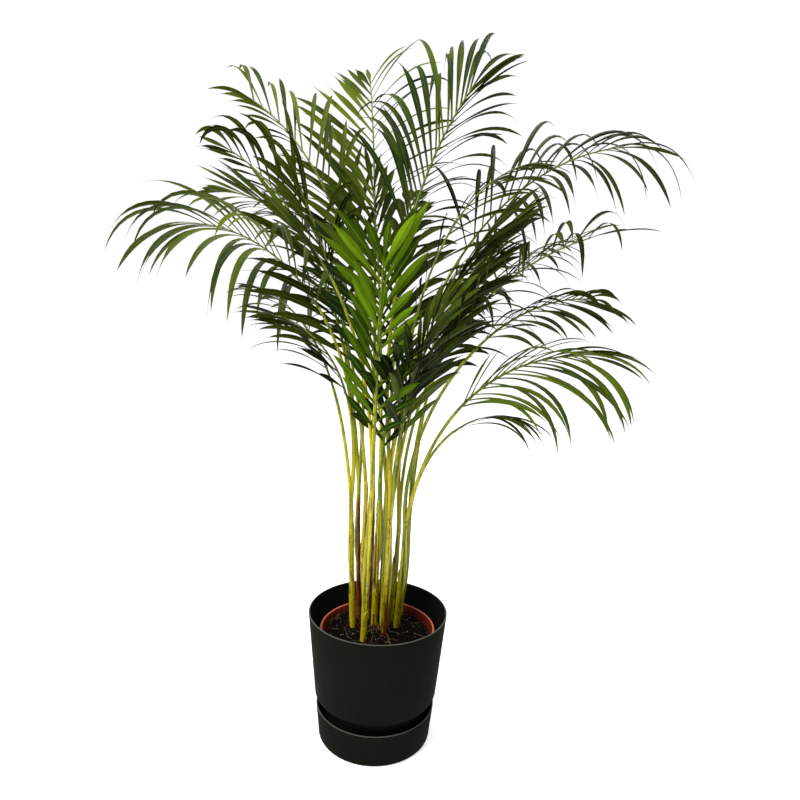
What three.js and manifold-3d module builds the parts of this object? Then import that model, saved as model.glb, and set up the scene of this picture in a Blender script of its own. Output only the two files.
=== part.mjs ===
// A feather palm growing as a clump of canes in a terracotta-coloured nursery pot, which stands
// inside a tapered charcoal planter on a deep saucer. Millimetres, +Z up. The origin is the centre
// of the saucer's underside, +X is to the viewer's right and the viewer stands on the -Y side.

import * as THREE from 'three';
import { mergeVertices } from 'three/addons/utils/BufferGeometryUtils.js';
import Module from 'manifold-3d';

const wasm = await Module();
wasm.setup();

// Planter, saucer and nursery pot.
const POT_HEIGHT = 234;
const POT_RIM_RADIUS = 125;
const POT_WALL = 2.6;
const POT_TAPER = 0.0952;
const BODY_BOTTOM = 80.6;
const FOOT_TOP_RADIUS = 95;
const FOOT_BOTTOM_RADIUS = 88;
const SAUCER_HEIGHT = 59.7;
const SAUCER_RIM_RADIUS = 107.9;
const SAUCER_BASE_RADIUS = 101.8;
const SAUCER_FLOOR = 3;
const NURSERY_HEIGHT = 201;
const NURSERY_LIP_RADIUS = 103.9;
const NURSERY_BASE_RADIUS = 76;
const NURSERY_WALL = 1.6;
const DRAIN_HOLES = 6;
const DRAIN_RADIUS = 6;
const DRAIN_CIRCLE = 52;
const CLEARANCE = 0.3;

// Soil and canes.
const SOIL_TOP = 188;
const SOIL_LUMPS = 1.6;
const CANE_FOOT_RADIUS = 6.6;
const CANE_NECK_RADIUS = 5.4;
const CANE_NECK_LENGTH = 26;
const CANE_SIDES = 8;
const STALK_BASE_RADIUS = 4.2;
const STALK_TIP_RADIUS = 2.7;
const STALK_SIDES = 5;

// Ribs and leaflets.
const RIB_BASE = 2.5;
const RIB_TIP = 1.2;
const STEEP_VEE = -45;
const SLIM_RIB = 0.5;
const LEAFLET_THICKNESS = 1.6;
const LEAFLET_STEPS = 12;
const END_LEAFLET = 0.75;
const GUARD = 0.4;

// Each cane from its foot in the soil to the neck where its leaf stalks part.
const CANES = [
  { foot: [-45, 20, 128], neck: [-56, 15, 430] },
  { foot: [-36, 51, 128], neck: [-46, 60, 445] },
  { foot: [-25, -28, 128], neck: [-17, -40, 465] },
  { foot: [-24, 27, 128], neck: [-30, 20, 450] },
  { foot: [-14, 44, 128], neck: [-20, 55, 480] },
  { foot: [-8, 20, 128], neck: [-5, 18, 470] },
  { foot: [8, 17, 128], neck: [12, 12, 490] },
  { foot: [11, -6, 128], neck: [16, -20, 410] },
  { foot: [18, 37, 128], neck: [32, 34, 385] },
  { foot: [32, 23, 128], neck: [43, 13, 390] },
  { foot: [2, 62, 128], neck: [6, 78, 440] },
  { foot: [36, 54, 128], neck: [52, 66, 405] },
];

// Each frond's cane, heading in degrees from +X, and length along the rib. The rib leaves its cane
// at the angle "lean" from upright and ends at "droop"; "bend" sets how late it bows, and "bare" is
// the share of the length with no leaflets. "pairs" counts the leaflet places on each side, every
// other one of which carries a leaflet here. "roll" turns the blade about its rib, and "width" is
// the leaflets' full width. "right" and "left" are the leaflets on each side; where "left" isn't
// given, it is like "right". In them, "leaf" is the longest leaflet, "open" and "close" are their
// angles to the rib at its foot and tip, "vee" lifts them, "sag" bows them down, and "tip" is the
// share of "leaf" left at the rib's end.
const FRONDS = [
  // tall frond at the top of the crown
  { cane: 5, azimuth: 99, length: 847, lean: 10, droop: 42, bend: 2, bare: 0.38, pairs: 18,
    roll: 15, width: 13, tone: 'mid',
    right: { leaf: 295, open: 48, close: 21, vee: 4, sag: 0.2, tip: 0.3 },
    left: { leaf: 202, open: 66, close: 36, vee: -24, sag: 1.1, tip: 0.84 } },
  // upper left frond that rises over its neighbours
  { cane: 2, azimuth: 156, length: 794, lean: -3, droop: 58, bend: 1.7, bare: 0.47, pairs: 17,
    roll: 66, width: 10, tone: 'mid',
    right: { leaf: 134, open: 49, close: 1, vee: 60, sag: 0.9, tip: 0.92 },
    left: { leaf: 300, open: 30, close: 33, vee: 44, sag: 0.5, tip: 1.05 } },
  // left frond below it
  { cane: 2, azimuth: 154, length: 732, lean: 5, droop: 61, bend: 1.6, bare: 0.39, pairs: 15,
    roll: 83, width: 10, tone: 'deep',
    right: { leaf: 126, open: 56, close: 9, vee: 29, sag: 0.3, tip: 1.05 },
    left: { leaf: 223, open: 39, close: 30, vee: -14, sag: 3.2, tip: 0.45 } },
  // pale left frond with drooping leaflets
  { cane: 3, azimuth: 148, length: 689, lean: 2, droop: 82, bend: 1.45, bare: 0.56, pairs: 13,
    roll: -24, width: 9.5, tone: 'mid',
    right: { leaf: 152, open: 51, close: 1, vee: -8, sag: 0.3, tip: 0.55 },
    left: { leaf: 260, open: 49, close: 0, vee: 9, sag: 0.5, tip: 0.38 } },
  // widest left frond, arching level
  { cane: 1, azimuth: 165, length: 637, lean: -4, droop: 84, bend: 1.43, bare: 0.56, pairs: 15,
    roll: -11, width: 12.5, tone: 'mid',
    right: { leaf: 200, open: 75, close: 30, vee: -32, sag: 1.8, tip: 1.05 },
    left: { leaf: 300, open: 75, close: 0, vee: 3, sag: 1.2, tip: 0.73 } },
  // sparse low left frond
  { cane: 1, azimuth: 212, length: 390, lean: -2, droop: 78, bend: 2, bare: 0.5, pairs: 6, roll: 20,
    width: 9, tone: 'deep', right: { leaf: 130, sag: 0.8 } },
  // young bright frond facing the viewer
  { cane: 3, azimuth: 280, length: 385, lean: 2, droop: 18, bend: 2, bare: 0.78, pairs: 5,
    width: 13, tone: 'young', right: { leaf: 150, open: 32, close: 20, vee: 8, sag: 0.3, tip: 0.5 },
    left: { leaf: 145, open: 44, close: 28, vee: 8, sag: 0.5, tip: 0.5 } },
  // broad upper right frond
  { cane: 7, azimuth: 37, length: 716, lean: -8, droop: 37, bend: 1.2, bare: 0.56, pairs: 18,
    roll: -58, width: 11.5, tone: 'mid',
    right: { leaf: 300, open: 26, close: 22, vee: 12, sag: 1.3, tip: 0.68 },
    left: { leaf: 300, open: 53, close: 7, vee: 53, sag: 0.5, tip: 0.57 } },
  // widest right frond
  { cane: 9, azimuth: 18, length: 900, lean: -4, droop: 78, bend: 1.4, bare: 0.56, pairs: 17,
    roll: 69, width: 8.5, tone: 'deep',
    right: { leaf: 250, open: 75, close: 19, vee: -51, sag: 0.8, tip: 0.95 },
    left: { leaf: 300, open: 41, close: 12, vee: -60, sag: 1.2, tip: 0.84 } },
  // right frond, second tier
  { cane: 9, azimuth: -19, length: 635, lean: 1, droop: 73, bend: 1.44, bare: 0.56, pairs: 14,
    roll: -5, width: 8.5, tone: 'deep',
    right: { leaf: 125, open: 41, close: 47, vee: -14, sag: 0.8, tip: 1.05 },
    left: { leaf: 190, open: 75, close: 55, vee: -37, sag: 3.2, tip: 0.69 } },
  // right frond, third tier
  { cane: 10, azimuth: 32, length: 686, lean: -8, droop: 90, bend: 0.82, bare: 0.55, pairs: 14,
    roll: -85, width: 8.5, tone: 'deep',
    right: { leaf: 135, open: 15, close: 23, vee: -11, sag: 1.7, tip: 0.9 },
    left: { leaf: 300, open: 41, close: 11, vee: 51, sag: 0.3, tip: 0.62 } },
  // low bright right frond
  { cane: 10, azimuth: -36, length: 472, lean: 12, droop: 86, bend: 1.43, bare: 0.52, pairs: 14,
    roll: 62, width: 7.5, tone: 'mid',
    right: { leaf: 220, open: 30, close: 14, vee: 20, sag: 2.1, tip: 0.62 },
    left: { leaf: 165, open: 16, close: 10, vee: 1, sag: 1.4, tip: 0.9 } },
  // small low frond beside it
  { cane: 12, azimuth: -39, length: 245, lean: 13, droop: 67, bend: 1.3, bare: 0.76, pairs: 3,
    roll: -4, width: 7.5, tone: 'deep',
    right: { leaf: 180, open: 30, close: 14, vee: 16, sag: 2.2, tip: 0.8 },
    left: { leaf: 180, open: 12, close: 4, vee: 5, sag: 1.8, tip: 0.92 } },
  // long right frond behind the broad one
  { cane: 7, azimuth: 24, length: 650, lean: 6, droop: 72, bend: 2.5, bare: 0.39, pairs: 13,
    roll: -20, width: 8, tone: 'deep', right: { leaf: 185, sag: 1.2 }, left: { leaf: 185, sag: 1.4 } },
  // dark upright frond right of the middle
  { cane: 8, azimuth: -35, length: 520, lean: 1, droop: 38, bend: 1.1, bare: 0.36, pairs: 18,
    width: 11.5, tone: 'deep', right: { leaf: 170, open: 34, sag: 0.8 } },
  // thin frond with hanging leaflets
  { cane: 12, azimuth: 28, length: 640, lean: 0, droop: 70, bend: 1.3, bare: 0.42, pairs: 12,
    width: 7.5, tone: 'deep', right: { leaf: 180, sag: 1.6 }, left: { leaf: 180, sag: 1.8 } },
  // small dark frond low in the middle
  { cane: 6, azimuth: 287, length: 255, lean: 8, droop: 50, bend: 1.3, bare: 0.22, pairs: 8,
    width: 15, tone: 'deep', right: { leaf: 115, open: 36, close: 18, vee: 8, sag: 0.9, tip: 0.8 } },
  // upright frond inside the crown
  { cane: 6, azimuth: 118, length: 520, lean: 2, droop: 16, bend: 1.4, bare: 0.36, pairs: 13,
    width: 10, tone: 'mid', right: { leaf: 200, open: 46, close: 25, sag: 0.6 } },
  // upright left frond
  { cane: 4, azimuth: 150, length: 560, lean: 6, droop: 30, bend: 1.2, bare: 0.4, pairs: 13,
    width: 11, tone: 'deep', right: { leaf: 200, sag: 0.8 } },
  // back frond
  { cane: 11, azimuth: 84, length: 640, lean: 6, droop: 52, bend: 1.8, bare: 0.4, pairs: 13,
    tone: 'deep', right: { leaf: 200, open: 40, sag: 0.8 }, left: { leaf: 200, open: 40, sag: 0.8 } },
  // back left frond
  { cane: 2, azimuth: 133, length: 640, lean: 8, droop: 60, bend: 2, bare: 0.42, pairs: 13,
    tone: 'deep', right: { leaf: 190 }, left: { leaf: 190 } },
  // back right frond
  { cane: 11, azimuth: 50, length: 600, lean: 12, droop: 70, bend: 1.8, bare: 0.42, pairs: 13,
    tone: 'deep', right: { leaf: 180 }, left: { leaf: 180 } },
  // front left frond
  { cane: 3, azimuth: 277, length: 300, lean: 8, droop: 20, bend: 1.5, bare: 0.32, pairs: 10,
    width: 9.5, tone: 'young',
    right: { leaf: 95, open: 52, close: 32, vee: 14, sag: 0.4, tip: 0.9 },
    left: { leaf: 115, open: 37, close: 24, vee: 14, sag: 0.3, tip: 0.9 } },
  // front right frond with curling leaflets
  { cane: 8, azimuth: 305, length: 400, lean: 4, droop: 40, bend: 1.6, bare: 0.36, pairs: 12,
    width: 10, tone: 'mid', right: { leaf: 135, open: 34, close: 14, vee: 14, sag: 1 } },
  // low back right frond
  { cane: 12, azimuth: 70, length: 560, lean: 14, droop: 80, bend: 1.6, bare: 0.44, pairs: 12,
    tone: 'deep', right: { leaf: 170 } },
  // low back left frond
  { cane: 1, azimuth: 150, length: 470, lean: 8, droop: 76, bend: 1.9, bare: 0.44, pairs: 10,
    width: 8.5, tone: 'deep', right: { leaf: 140 }, left: { leaf: 140 } },
  // low back frond
  { cane: 11, azimuth: 118, length: 560, lean: 14, droop: 78, bend: 1.7, bare: 0.44, pairs: 12,
    tone: 'deep', right: { leaf: 170 }, left: { leaf: 170 } },
  // inner front right frond
  { cane: 8, azimuth: -8, length: 560, lean: 6, droop: 42, bend: 1.6, bare: 0.42, pairs: 15,
    width: 11, tone: 'deep', right: { leaf: 170, open: 34, sag: 0.9 } },
];

const COLOURS = {
  charcoal: 0x23241f,
  terracotta: 0x9c4a34,
  soil: 0x17120e,
  cane: 0x8f9a2e,
  deep: 0x2c4a1a,
  mid: 0x46701f,
  young: 0x7aa521,
};

// A repeatable draw between -1 and 1.
function wobble(a, b) {
  const value = Math.sin(a * 12.9898 + b * 78.233) * 43758.5453;
  return 2 * (value - Math.floor(value)) - 1;
}

const radians = THREE.MathUtils.degToRad;
const DOWN = new THREE.Vector3(0, 0, -1);

// Turns any closed geometry into a solid, with its faces pointing out.
function solidOf(geometry) {
  const plain = new THREE.BufferGeometry().copy(geometry);
  plain.deleteAttribute('normal');
  plain.deleteAttribute('uv');
  const merged = mergeVertices(plain, 1e-4);
  const spots = merged.getAttribute('position').array;
  const triangles = [];
  let volume = 0;
  const a = new THREE.Vector3();
  const b = new THREE.Vector3();
  const c = new THREE.Vector3();
  for (let i = 0; i < merged.index.count; i += 3) {
    const [p, q, r] = [merged.index.getX(i), merged.index.getX(i + 1), merged.index.getX(i + 2)];
    if (p === q || q === r || r === p) continue;
    triangles.push(p, q, r);
    a.fromArray(spots, p * 3);
    b.fromArray(spots, q * 3);
    c.fromArray(spots, r * 3);
    volume += a.dot(b.cross(c));
  }
  if (volume < 0) triangles.reverse();
  return new wasm.Manifold(
    new wasm.Mesh({
      numProp: 3,
      vertProperties: new Float32Array(spots),
      triVerts: new Uint32Array(triangles),
    }),
  );
}

function geometryOf(solid) {
  const mesh = solid.getMesh();
  const geometry = new THREE.BufferGeometry();
  const spots = new Float32Array(mesh.numVert * 3);
  for (let i = 0; i < mesh.numVert; i++) {
    for (let k = 0; k < 3; k++) spots[i * 3 + k] = mesh.vertProperties[i * mesh.numProp + k];
  }
  geometry.setAttribute('position', new THREE.BufferAttribute(spots, 3));
  geometry.setIndex(new THREE.BufferAttribute(new Uint32Array(mesh.triVerts), 1));
  geometry.computeVertexNormals();
  return geometry;
}

// A closed profile of radius and height, turned about the upright axis.
function turned(profile, segments) {
  const points = profile.map(([radius, height]) => new THREE.Vector2(radius, height));
  const geometry = new THREE.LatheGeometry(points, segments);
  geometry.rotateX(Math.PI / 2);
  return geometry;
}

// A cylinder bent along a curve, with its radius following a rule.
function limb(curve, radiusAt, sides, rows) {
  const geometry = new THREE.CylinderGeometry(1, 1, 1, sides, rows);
  const position = geometry.getAttribute('position');
  const across = new THREE.Vector3();
  const away = new THREE.Vector3();
  const spot = new THREE.Vector3();
  for (let i = 0; i < position.count; i++) {
    const t = position.getY(i) + 0.5;
    const along = curve.getTangentAt(t);
    across.set(0, 1, 0).addScaledVector(along, -along.y).normalize();
    away.crossVectors(across, along);
    curve.getPointAt(t, spot);
    spot.addScaledVector(across, position.getX(i) * radiusAt(t));
    spot.addScaledVector(away, position.getZ(i) * radiusAt(t));
    position.setXYZ(i, spot.x, spot.y, spot.z);
  }
  return geometry;
}

// The line of a frond's stalk and rib, bowing from its lean to its droop.
class RibCurve extends THREE.Curve {
  constructor(frond, start) {
    super();
    this.points = [new THREE.Vector3(...start)];
    const rows = 48;
    for (let i = 0; i < rows; i++) {
      const step = this.heading(frond, (i + 0.5) / rows).multiplyScalar(frond.length / rows);
      this.points.push(this.points[i].clone().add(step));
    }
    this.frond = frond;
  }

  heading(frond, t) {
    const angle = radians(frond.lean + (frond.droop - frond.lean) * t ** frond.bend);
    const turn = radians(frond.azimuth);
    const out = Math.sin(angle);
    return new THREE.Vector3(out * Math.cos(turn), out * Math.sin(turn), Math.cos(angle));
  }

  getPoint(t, target = new THREE.Vector3()) {
    const place = THREE.MathUtils.clamp(t, 0, 1) * (this.points.length - 1);
    const row = Math.min(Math.floor(place), this.points.length - 2);
    return target.lerpVectors(this.points[row], this.points[row + 1], place - row);
  }

  getPointAt(t, target) {
    return this.getPoint(t, target);
  }

  getTangentAt(t) {
    return this.heading(this.frond, t);
  }

  // The rib's own axes: along it, across it, and up out of its leafy face.
  axes(t) {
    const turn = radians(this.frond.azimuth);
    const along = this.heading(this.frond, t);
    const across = new THREE.Vector3(-Math.sin(turn), Math.cos(turn), 0);
    const up = new THREE.Vector3().crossVectors(across, along).normalize();
    across.crossVectors(along, up).normalize();
    const roll = radians(this.frond.roll ?? 0);
    const side = across.clone().multiplyScalar(Math.cos(roll)).addScaledVector(up, Math.sin(roll));
    const face = up.clone().multiplyScalar(Math.cos(roll)).addScaledVector(across, -Math.sin(roll));
    return { along, side, face };
  }
}

// A part of the rib measured by its leafy stretch, from 0 at the first leaflet to 1 at the end.
function leafyPlace(frond, q) {
  return frond.bare + (1 - frond.bare) * q;
}

// The leaflets on one side of a frond, 1 for its right and -1 for its left.
function rankOf(frond, side) {
  const usual = { open: 44, close: 10, vee: 28, sag: 1.3, tip: 0.54 };
  return { ...usual, ...(side > 0 ? frond.right : (frond.left ?? frond.right)) };
}

// How long a leaflet is, by its place on the rib.
function leafletLength(rank, q, key) {
  const { tip } = rank;
  const rise = 0.7 + 0.3 * Math.sin((Math.PI / 2) * (q / 0.4));
  const fall = tip + (1 - tip) * Math.cos((Math.PI / 2) * ((q - 0.4) / 0.6));
  return rank.leaf * (q < 0.4 ? rise : fall) * (1 + 0.08 * wobble(key, 3));
}

// One leaflet's middle line and the direction of its width, from its root outwards.
function leafletLine(frond, curve, side, q, key, change) {
  const place = leafyPlace(frond, q);
  const axes = curve.axes(place);
  const atEnd = q === 1;
  const rank = rankOf(frond, side);
  const open = rank.open * (1 - q) + rank.close * q;
  const opening = atEnd ? 4 + Math.abs(change.swing) : open + 5 * wobble(key, 1) + change.swing;
  const angle = radians(opening);
  const vee = radians(rank.vee + 8 * wobble(key, 2) + change.lift);
  const size = leafletLength(rank, q, key) * change.size * (atEnd ? END_LEAFLET : 1);
  const sag = (rank.sag * (1 + 0.35 * wobble(key, 4)) * size) / 200;
  const heading = axes.along.clone().multiplyScalar(Math.cos(angle));
  heading.addScaledVector(axes.side, side * Math.sin(angle) * Math.cos(vee));
  heading.addScaledVector(axes.face, Math.sin(angle) * Math.sin(vee));
  heading.normalize();
  const width = axes.along.clone().addScaledVector(heading, -axes.along.dot(heading));
  if (atEnd) width.copy(axes.side);
  width.normalize();
  const points = [curve.getPoint(place)];
  const widths = [width.clone()];
  const headings = [heading.clone()];
  for (let i = 0; i < LEAFLET_STEPS; i++) {
    const t = (i + 0.5) / LEAFLET_STEPS;
    const pull = DOWN.clone().addScaledVector(heading, -DOWN.dot(heading));
    heading.addScaledVector(pull, (sag * (0.3 + 1.4 * t)) / LEAFLET_STEPS).normalize();
    width.addScaledVector(heading, -width.dot(heading)).normalize();
    points.push(points[i].clone().addScaledVector(heading, size / LEAFLET_STEPS));
    widths.push(width.clone());
    headings.push(heading.clone());
  }
  return { points, widths, headings, side: atEnd ? -1 : side, size };
}

// Points across a leaflet at one row, given as steps along its width and up from its face.
function across(line, row, steps) {
  const face = new THREE.Vector3().crossVectors(line.headings[row], line.widths[row]);
  face.multiplyScalar(line.side);
  return steps.map(([sideways, up]) =>
    line.points[row].clone().addScaledVector(line.widths[row], sideways).addScaledVector(face, up),
  );
}

// Three corners across a leaflet: its two edges and, between them, its raised midrib.
function section(line, row, width, thickness) {
  return across(line, row, [[-width / 2, 0], [0, thickness], [width / 2, 0]]);
}

// Five corners round a leaflet's section, clear of it by a guard.
function guarded(line, row, width, thickness, guard, sink = 0) {
  const edge = width / 2 + guard;
  const under = -guard - sink;
  return across(line, row, [
    [-edge, under],
    [-edge, guard],
    [0, thickness + guard],
    [edge, guard],
    [edge, under],
  ]);
}

// The rows at which a leaflet has corners, and the share of its full width there.
function stations(line) {
  return line.size > 125 ? [[4, 0.75], [9, 0.8]] : [[6, 1]];
}

// A closed solid from rings of corners that run out to a point.
function spike(rings, point, side) {
  const corners = rings[0].length;
  const positions = [];
  const index = [];
  for (const ring of rings) for (const corner of ring) positions.push(...corner.toArray());
  positions.push(...point.toArray());
  const last = rings.length * corners;
  const put = (a, b, c) => (side > 0 ? index.push(a, b, c) : index.push(a, c, b));
  for (let k = 1; k + 1 < corners; k++) put(0, k, k + 1);
  for (let r = 0; r + 1 < rings.length; r++) {
    for (let k = 0; k < corners; k++) {
      const [a, b] = [r * corners + k, r * corners + ((k + 1) % corners)];
      put(b, a, a + corners);
      put(b, a + corners, b + corners);
    }
  }
  for (let k = 0; k < corners; k++) {
    put(last - corners + ((k + 1) % corners), last - corners + k, last);
  }
  const geometry = new THREE.BufferGeometry();
  geometry.setAttribute('position', new THREE.Float32BufferAttribute(positions, 3));
  geometry.setIndex(index);
  return geometry;
}

// The room that a leaflet takes, clear of its skin by a guard, from a given row outwards.
function leafletRoom(frond, line, from, guard, root = 1.3) {
  const full = frond.width ?? 9.5;
  const sink = from === 0 ? RIB_BASE : 0;
  const rings = [guarded(line, from, full * root, RIB_BASE, guard, sink)];
  for (const [row, share] of stations(line)) {
    rings.push(guarded(line, row, full * share, LEAFLET_THICKNESS * share, guard));
  }
  rings.push(guarded(line, LEAFLET_STEPS, 0.1, 0.1, guard));
  const end = line.points[LEAFLET_STEPS].clone();
  end.addScaledVector(line.headings[LEAFLET_STEPS], guard + 0.1);
  return solidOf(spike(rings, end, line.side));
}

// Whether a frond's leaflets bend far outwards.
const isSteep = (frond) => Boolean(frond.left) && frond.left.vee < STEEP_VEE;

// A frond's rib with all its leaflets, as one closed skin.
class FrondGeometry extends THREE.BufferGeometry {
  constructor(frond, curve, leaflets) {
    super();
    this.spots = [];
    this.faces = [];
    const first = frond.bare + CLEARANCE / frond.length;
    const rows = [{ t: first }];
    const places = [...leaflets].sort((a, b) => a.from - b.from);
    for (const leaflet of places) {
      const from = leafyPlace(frond, leaflet.from);
      const to = leafyPlace(frond, leaflet.to);
      if (from - rows.at(-1).t > 1e-6) rows.push({ t: from });
      rows.at(-1)[leaflet.line.side > 0 ? 'right' : 'left'] = leaflet;
      rows.push({ t: to });
    }
    const rings = rows.map(({ t }) => this.ribRing(frond, curve, t));
    this.face(rings[0][0], rings[0][2], rings[0][1]);
    for (let i = 0; i + 1 < rows.length; i++) {
      const [top, right, left] = rings[i];
      const [nextTop, nextRight, nextLeft] = rings[i + 1];
      this.quad(right, left, nextLeft, nextRight);
      if (rows[i].right) this.leaflet(frond, rows[i].right.line, top, nextTop, nextRight, right);
      else this.quad(top, right, nextRight, nextTop);
      if (rows[i].left) this.leaflet(frond, rows[i].left.line, top, nextTop, nextLeft, left);
      else this.quad(left, top, nextTop, nextLeft);
    }
    this.endLeaflet(frond, curve, rings.at(-1), leaflets.endLine);
    this.setAttribute('position', new THREE.Float32BufferAttribute(this.spots, 3));
    this.setIndex(this.faces);
  }

  spot(point) {
    this.spots.push(point.x, point.y, point.z);
    return this.spots.length / 3 - 1;
  }

  face(a, b, c) {
    this.faces.push(a, b, c);
  }

  quad(a, b, c, d) {
    this.face(a, b, c);
    this.face(a, c, d);
  }

  // The rib is three-sided: a ridge on the leafy face and two lower edges. Where the leaflets bend
  // far outwards, the edges are closer together, so that a leaflet's two sides never cross.
  ribRing(frond, curve, t) {
    const { side, face } = curve.axes(t);
    const size = THREE.MathUtils.lerp(RIB_BASE, RIB_TIP, (t - frond.bare) / (1 - frond.bare));
    const half = size * (isSteep(frond) ? SLIM_RIB : 1);
    const middle = curve.getPoint(t);
    const ridge = middle.clone().addScaledVector(face, size);
    const low = middle.clone().addScaledVector(face, -size * 0.6);
    return [
      this.spot(ridge),
      this.spot(low.clone().addScaledVector(side, half)),
      this.spot(low.clone().addScaledVector(side, -half)),
    ];
  }

  // A leaflet grows out of one side of the rib: four root corners close to three.
  leaflet(frond, line, upperBack, upperFront, lowerFront, lowerBack) {
    const put = (a, b, c) => (line.side > 0 ? this.face(a, b, c) : this.face(a, c, b));
    const full = frond.width ?? 9.5;
    let ring = null;
    for (const [row, share] of stations(line)) {
      const corners = section(line, row, full * share, LEAFLET_THICKNESS * share);
      const next = corners.map((corner) => this.spot(corner));
      if (ring === null) {
        const [back, middle, front] = next;
        put(upperBack, lowerBack, back);
        if (isSteep(frond)) {
          put(lowerBack, lowerFront, front);
          put(lowerBack, front, back);
        } else {
          put(lowerBack, lowerFront, back);
          put(lowerFront, front, back);
        }
        put(lowerFront, upperFront, front);
        put(upperFront, middle, front);
        put(upperFront, upperBack, middle);
        put(upperBack, back, middle);
      } else {
        this.sleeve(put, ring, next);
      }
      ring = next;
    }
    const end = this.spot(line.points[LEAFLET_STEPS]);
    for (let k = 0; k < 3; k++) put(ring[(k + 1) % 3], ring[k], end);
  }

  // Joins two rings whose corners run the same way round.
  sleeve(put, ring, next) {
    for (let k = 0; k < 3; k++) {
      const [a, b] = [k, (k + 1) % 3];
      put(ring[b], ring[a], next[a]);
      put(ring[b], next[a], next[b]);
    }
  }

  // The last leaflet runs on from the end of the rib.
  endLeaflet(frond, curve, ring, line) {
    const put = (a, b, c) => this.face(a, b, c);
    let last = [ring[1], ring[0], ring[2]];
    const full = (frond.width ?? 9.5) * 0.8;
    for (const [row, share] of stations(line)) {
      const corners = section(line, row, full * share, LEAFLET_THICKNESS * share);
      const next = corners.reverse().map((corner) => this.spot(corner));
      this.sleeve(put, last, next);
      last = next;
    }
    const end = this.spot(line.points[LEAFLET_STEPS]);
    for (let k = 0; k < 3; k++) put(last[(k + 1) % 3], last[k], end);
  }
}

function overlaps(a, b) {
  const common = a.intersect(b);
  const found = !common.isEmpty();
  common.delete();
  return found;
}

function boxOf(solid) {
  const { min, max } = solid.boundingBox();
  return new THREE.Box3(new THREE.Vector3(...min), new THREE.Vector3(...max));
}

// Everything placed so far, with the node that it belongs to.
const placed = [];

function place(solid, node, kind) {
  placed.push({ solid, node, kind, box: boxOf(solid) });
}

function meets(solid, skip) {
  const box = boxOf(solid);
  return placed.some(
    (other) => !skip(other) && other.box.intersectsBox(box) && overlaps(solid, other.solid),
  );
}

const palm = new THREE.Group();

function add(name, solid, colour, roughness) {
  const material = new THREE.MeshStandardMaterial({ color: colour, roughness, metalness: 0 });
  const mesh = new THREE.Mesh(solid.isBufferGeometry ? solid : geometryOf(solid), material);
  mesh.name = name;
  palm.add(mesh);
}

const label = (stem, number) => `${stem}_${String(number).padStart(2, '0')}`;

// Planter: a tapered body, closed underneath by a narrower foot that stands in the saucer.
function outerPot() {
  const outer = (z) => POT_RIM_RADIUS - (POT_HEIGHT - z) * POT_TAPER;
  const floor = SAUCER_FLOOR + CLEARANCE;
  const foot = (z) => {
    const share = (z - floor) / (BODY_BOTTOM - floor);
    return THREE.MathUtils.lerp(FOOT_BOTTOM_RADIUS, FOOT_TOP_RADIUS, share);
  };
  const ledge = BODY_BOTTOM + POT_WALL + 1;
  return turned(
    [
      [0, floor],
      [FOOT_BOTTOM_RADIUS - 3, floor],
      [foot(floor + 3), floor + 3],
      [foot(BODY_BOTTOM), BODY_BOTTOM],
      [outer(BODY_BOTTOM) - 7, BODY_BOTTOM],
      [outer(BODY_BOTTOM) - 2.6, BODY_BOTTOM + 1.6],
      [outer(BODY_BOTTOM + 6), BODY_BOTTOM + 6],
      [outer(POT_HEIGHT - 0.9), POT_HEIGHT - 0.9],
      [POT_RIM_RADIUS - 0.9, POT_HEIGHT],
      [POT_RIM_RADIUS - POT_WALL + 0.6, POT_HEIGHT],
      [outer(POT_HEIGHT - 1) - POT_WALL, POT_HEIGHT - 1],
      [outer(ledge + 4) - POT_WALL, ledge + 4],
      [outer(ledge) - POT_WALL - 4.5, ledge],
      [foot(ledge) - POT_WALL, ledge],
      [foot(floor + 3) - POT_WALL - 0.4, floor + 3],
      [0, floor + 3],
    ],
    48,
  );
}

// Saucer: a deep dish with a small rounded foot and a thin rim.
function saucer() {
  const wall = POT_WALL;
  const radius = (z) => THREE.MathUtils.lerp(SAUCER_BASE_RADIUS, SAUCER_RIM_RADIUS, z / SAUCER_HEIGHT);
  return turned(
    [
      [0, 0],
      [SAUCER_BASE_RADIUS - 3, 0],
      [radius(1), 1],
      [radius(4), 4],
      [radius(SAUCER_HEIGHT - 0.8), SAUCER_HEIGHT - 0.8],
      [SAUCER_RIM_RADIUS - 0.8, SAUCER_HEIGHT],
      [SAUCER_RIM_RADIUS - wall + 0.6, SAUCER_HEIGHT],
      [radius(SAUCER_HEIGHT - 1) - wall, SAUCER_HEIGHT - 1],
      [radius(SAUCER_FLOOR + 3) - wall, SAUCER_FLOOR + 3],
      [radius(SAUCER_FLOOR) - wall - 2.5, SAUCER_FLOOR],
      [0, SAUCER_FLOOR],
    ],
    48,
  );
}

const nurseryFloor = SAUCER_FLOOR + CLEARANCE + 3 + CLEARANCE;

function nurseryRadius(z) {
  const share = (z - nurseryFloor) / (NURSERY_HEIGHT - 7 - nurseryFloor);
  return THREE.MathUtils.lerp(NURSERY_BASE_RADIUS, NURSERY_LIP_RADIUS - 6, share);
}

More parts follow.
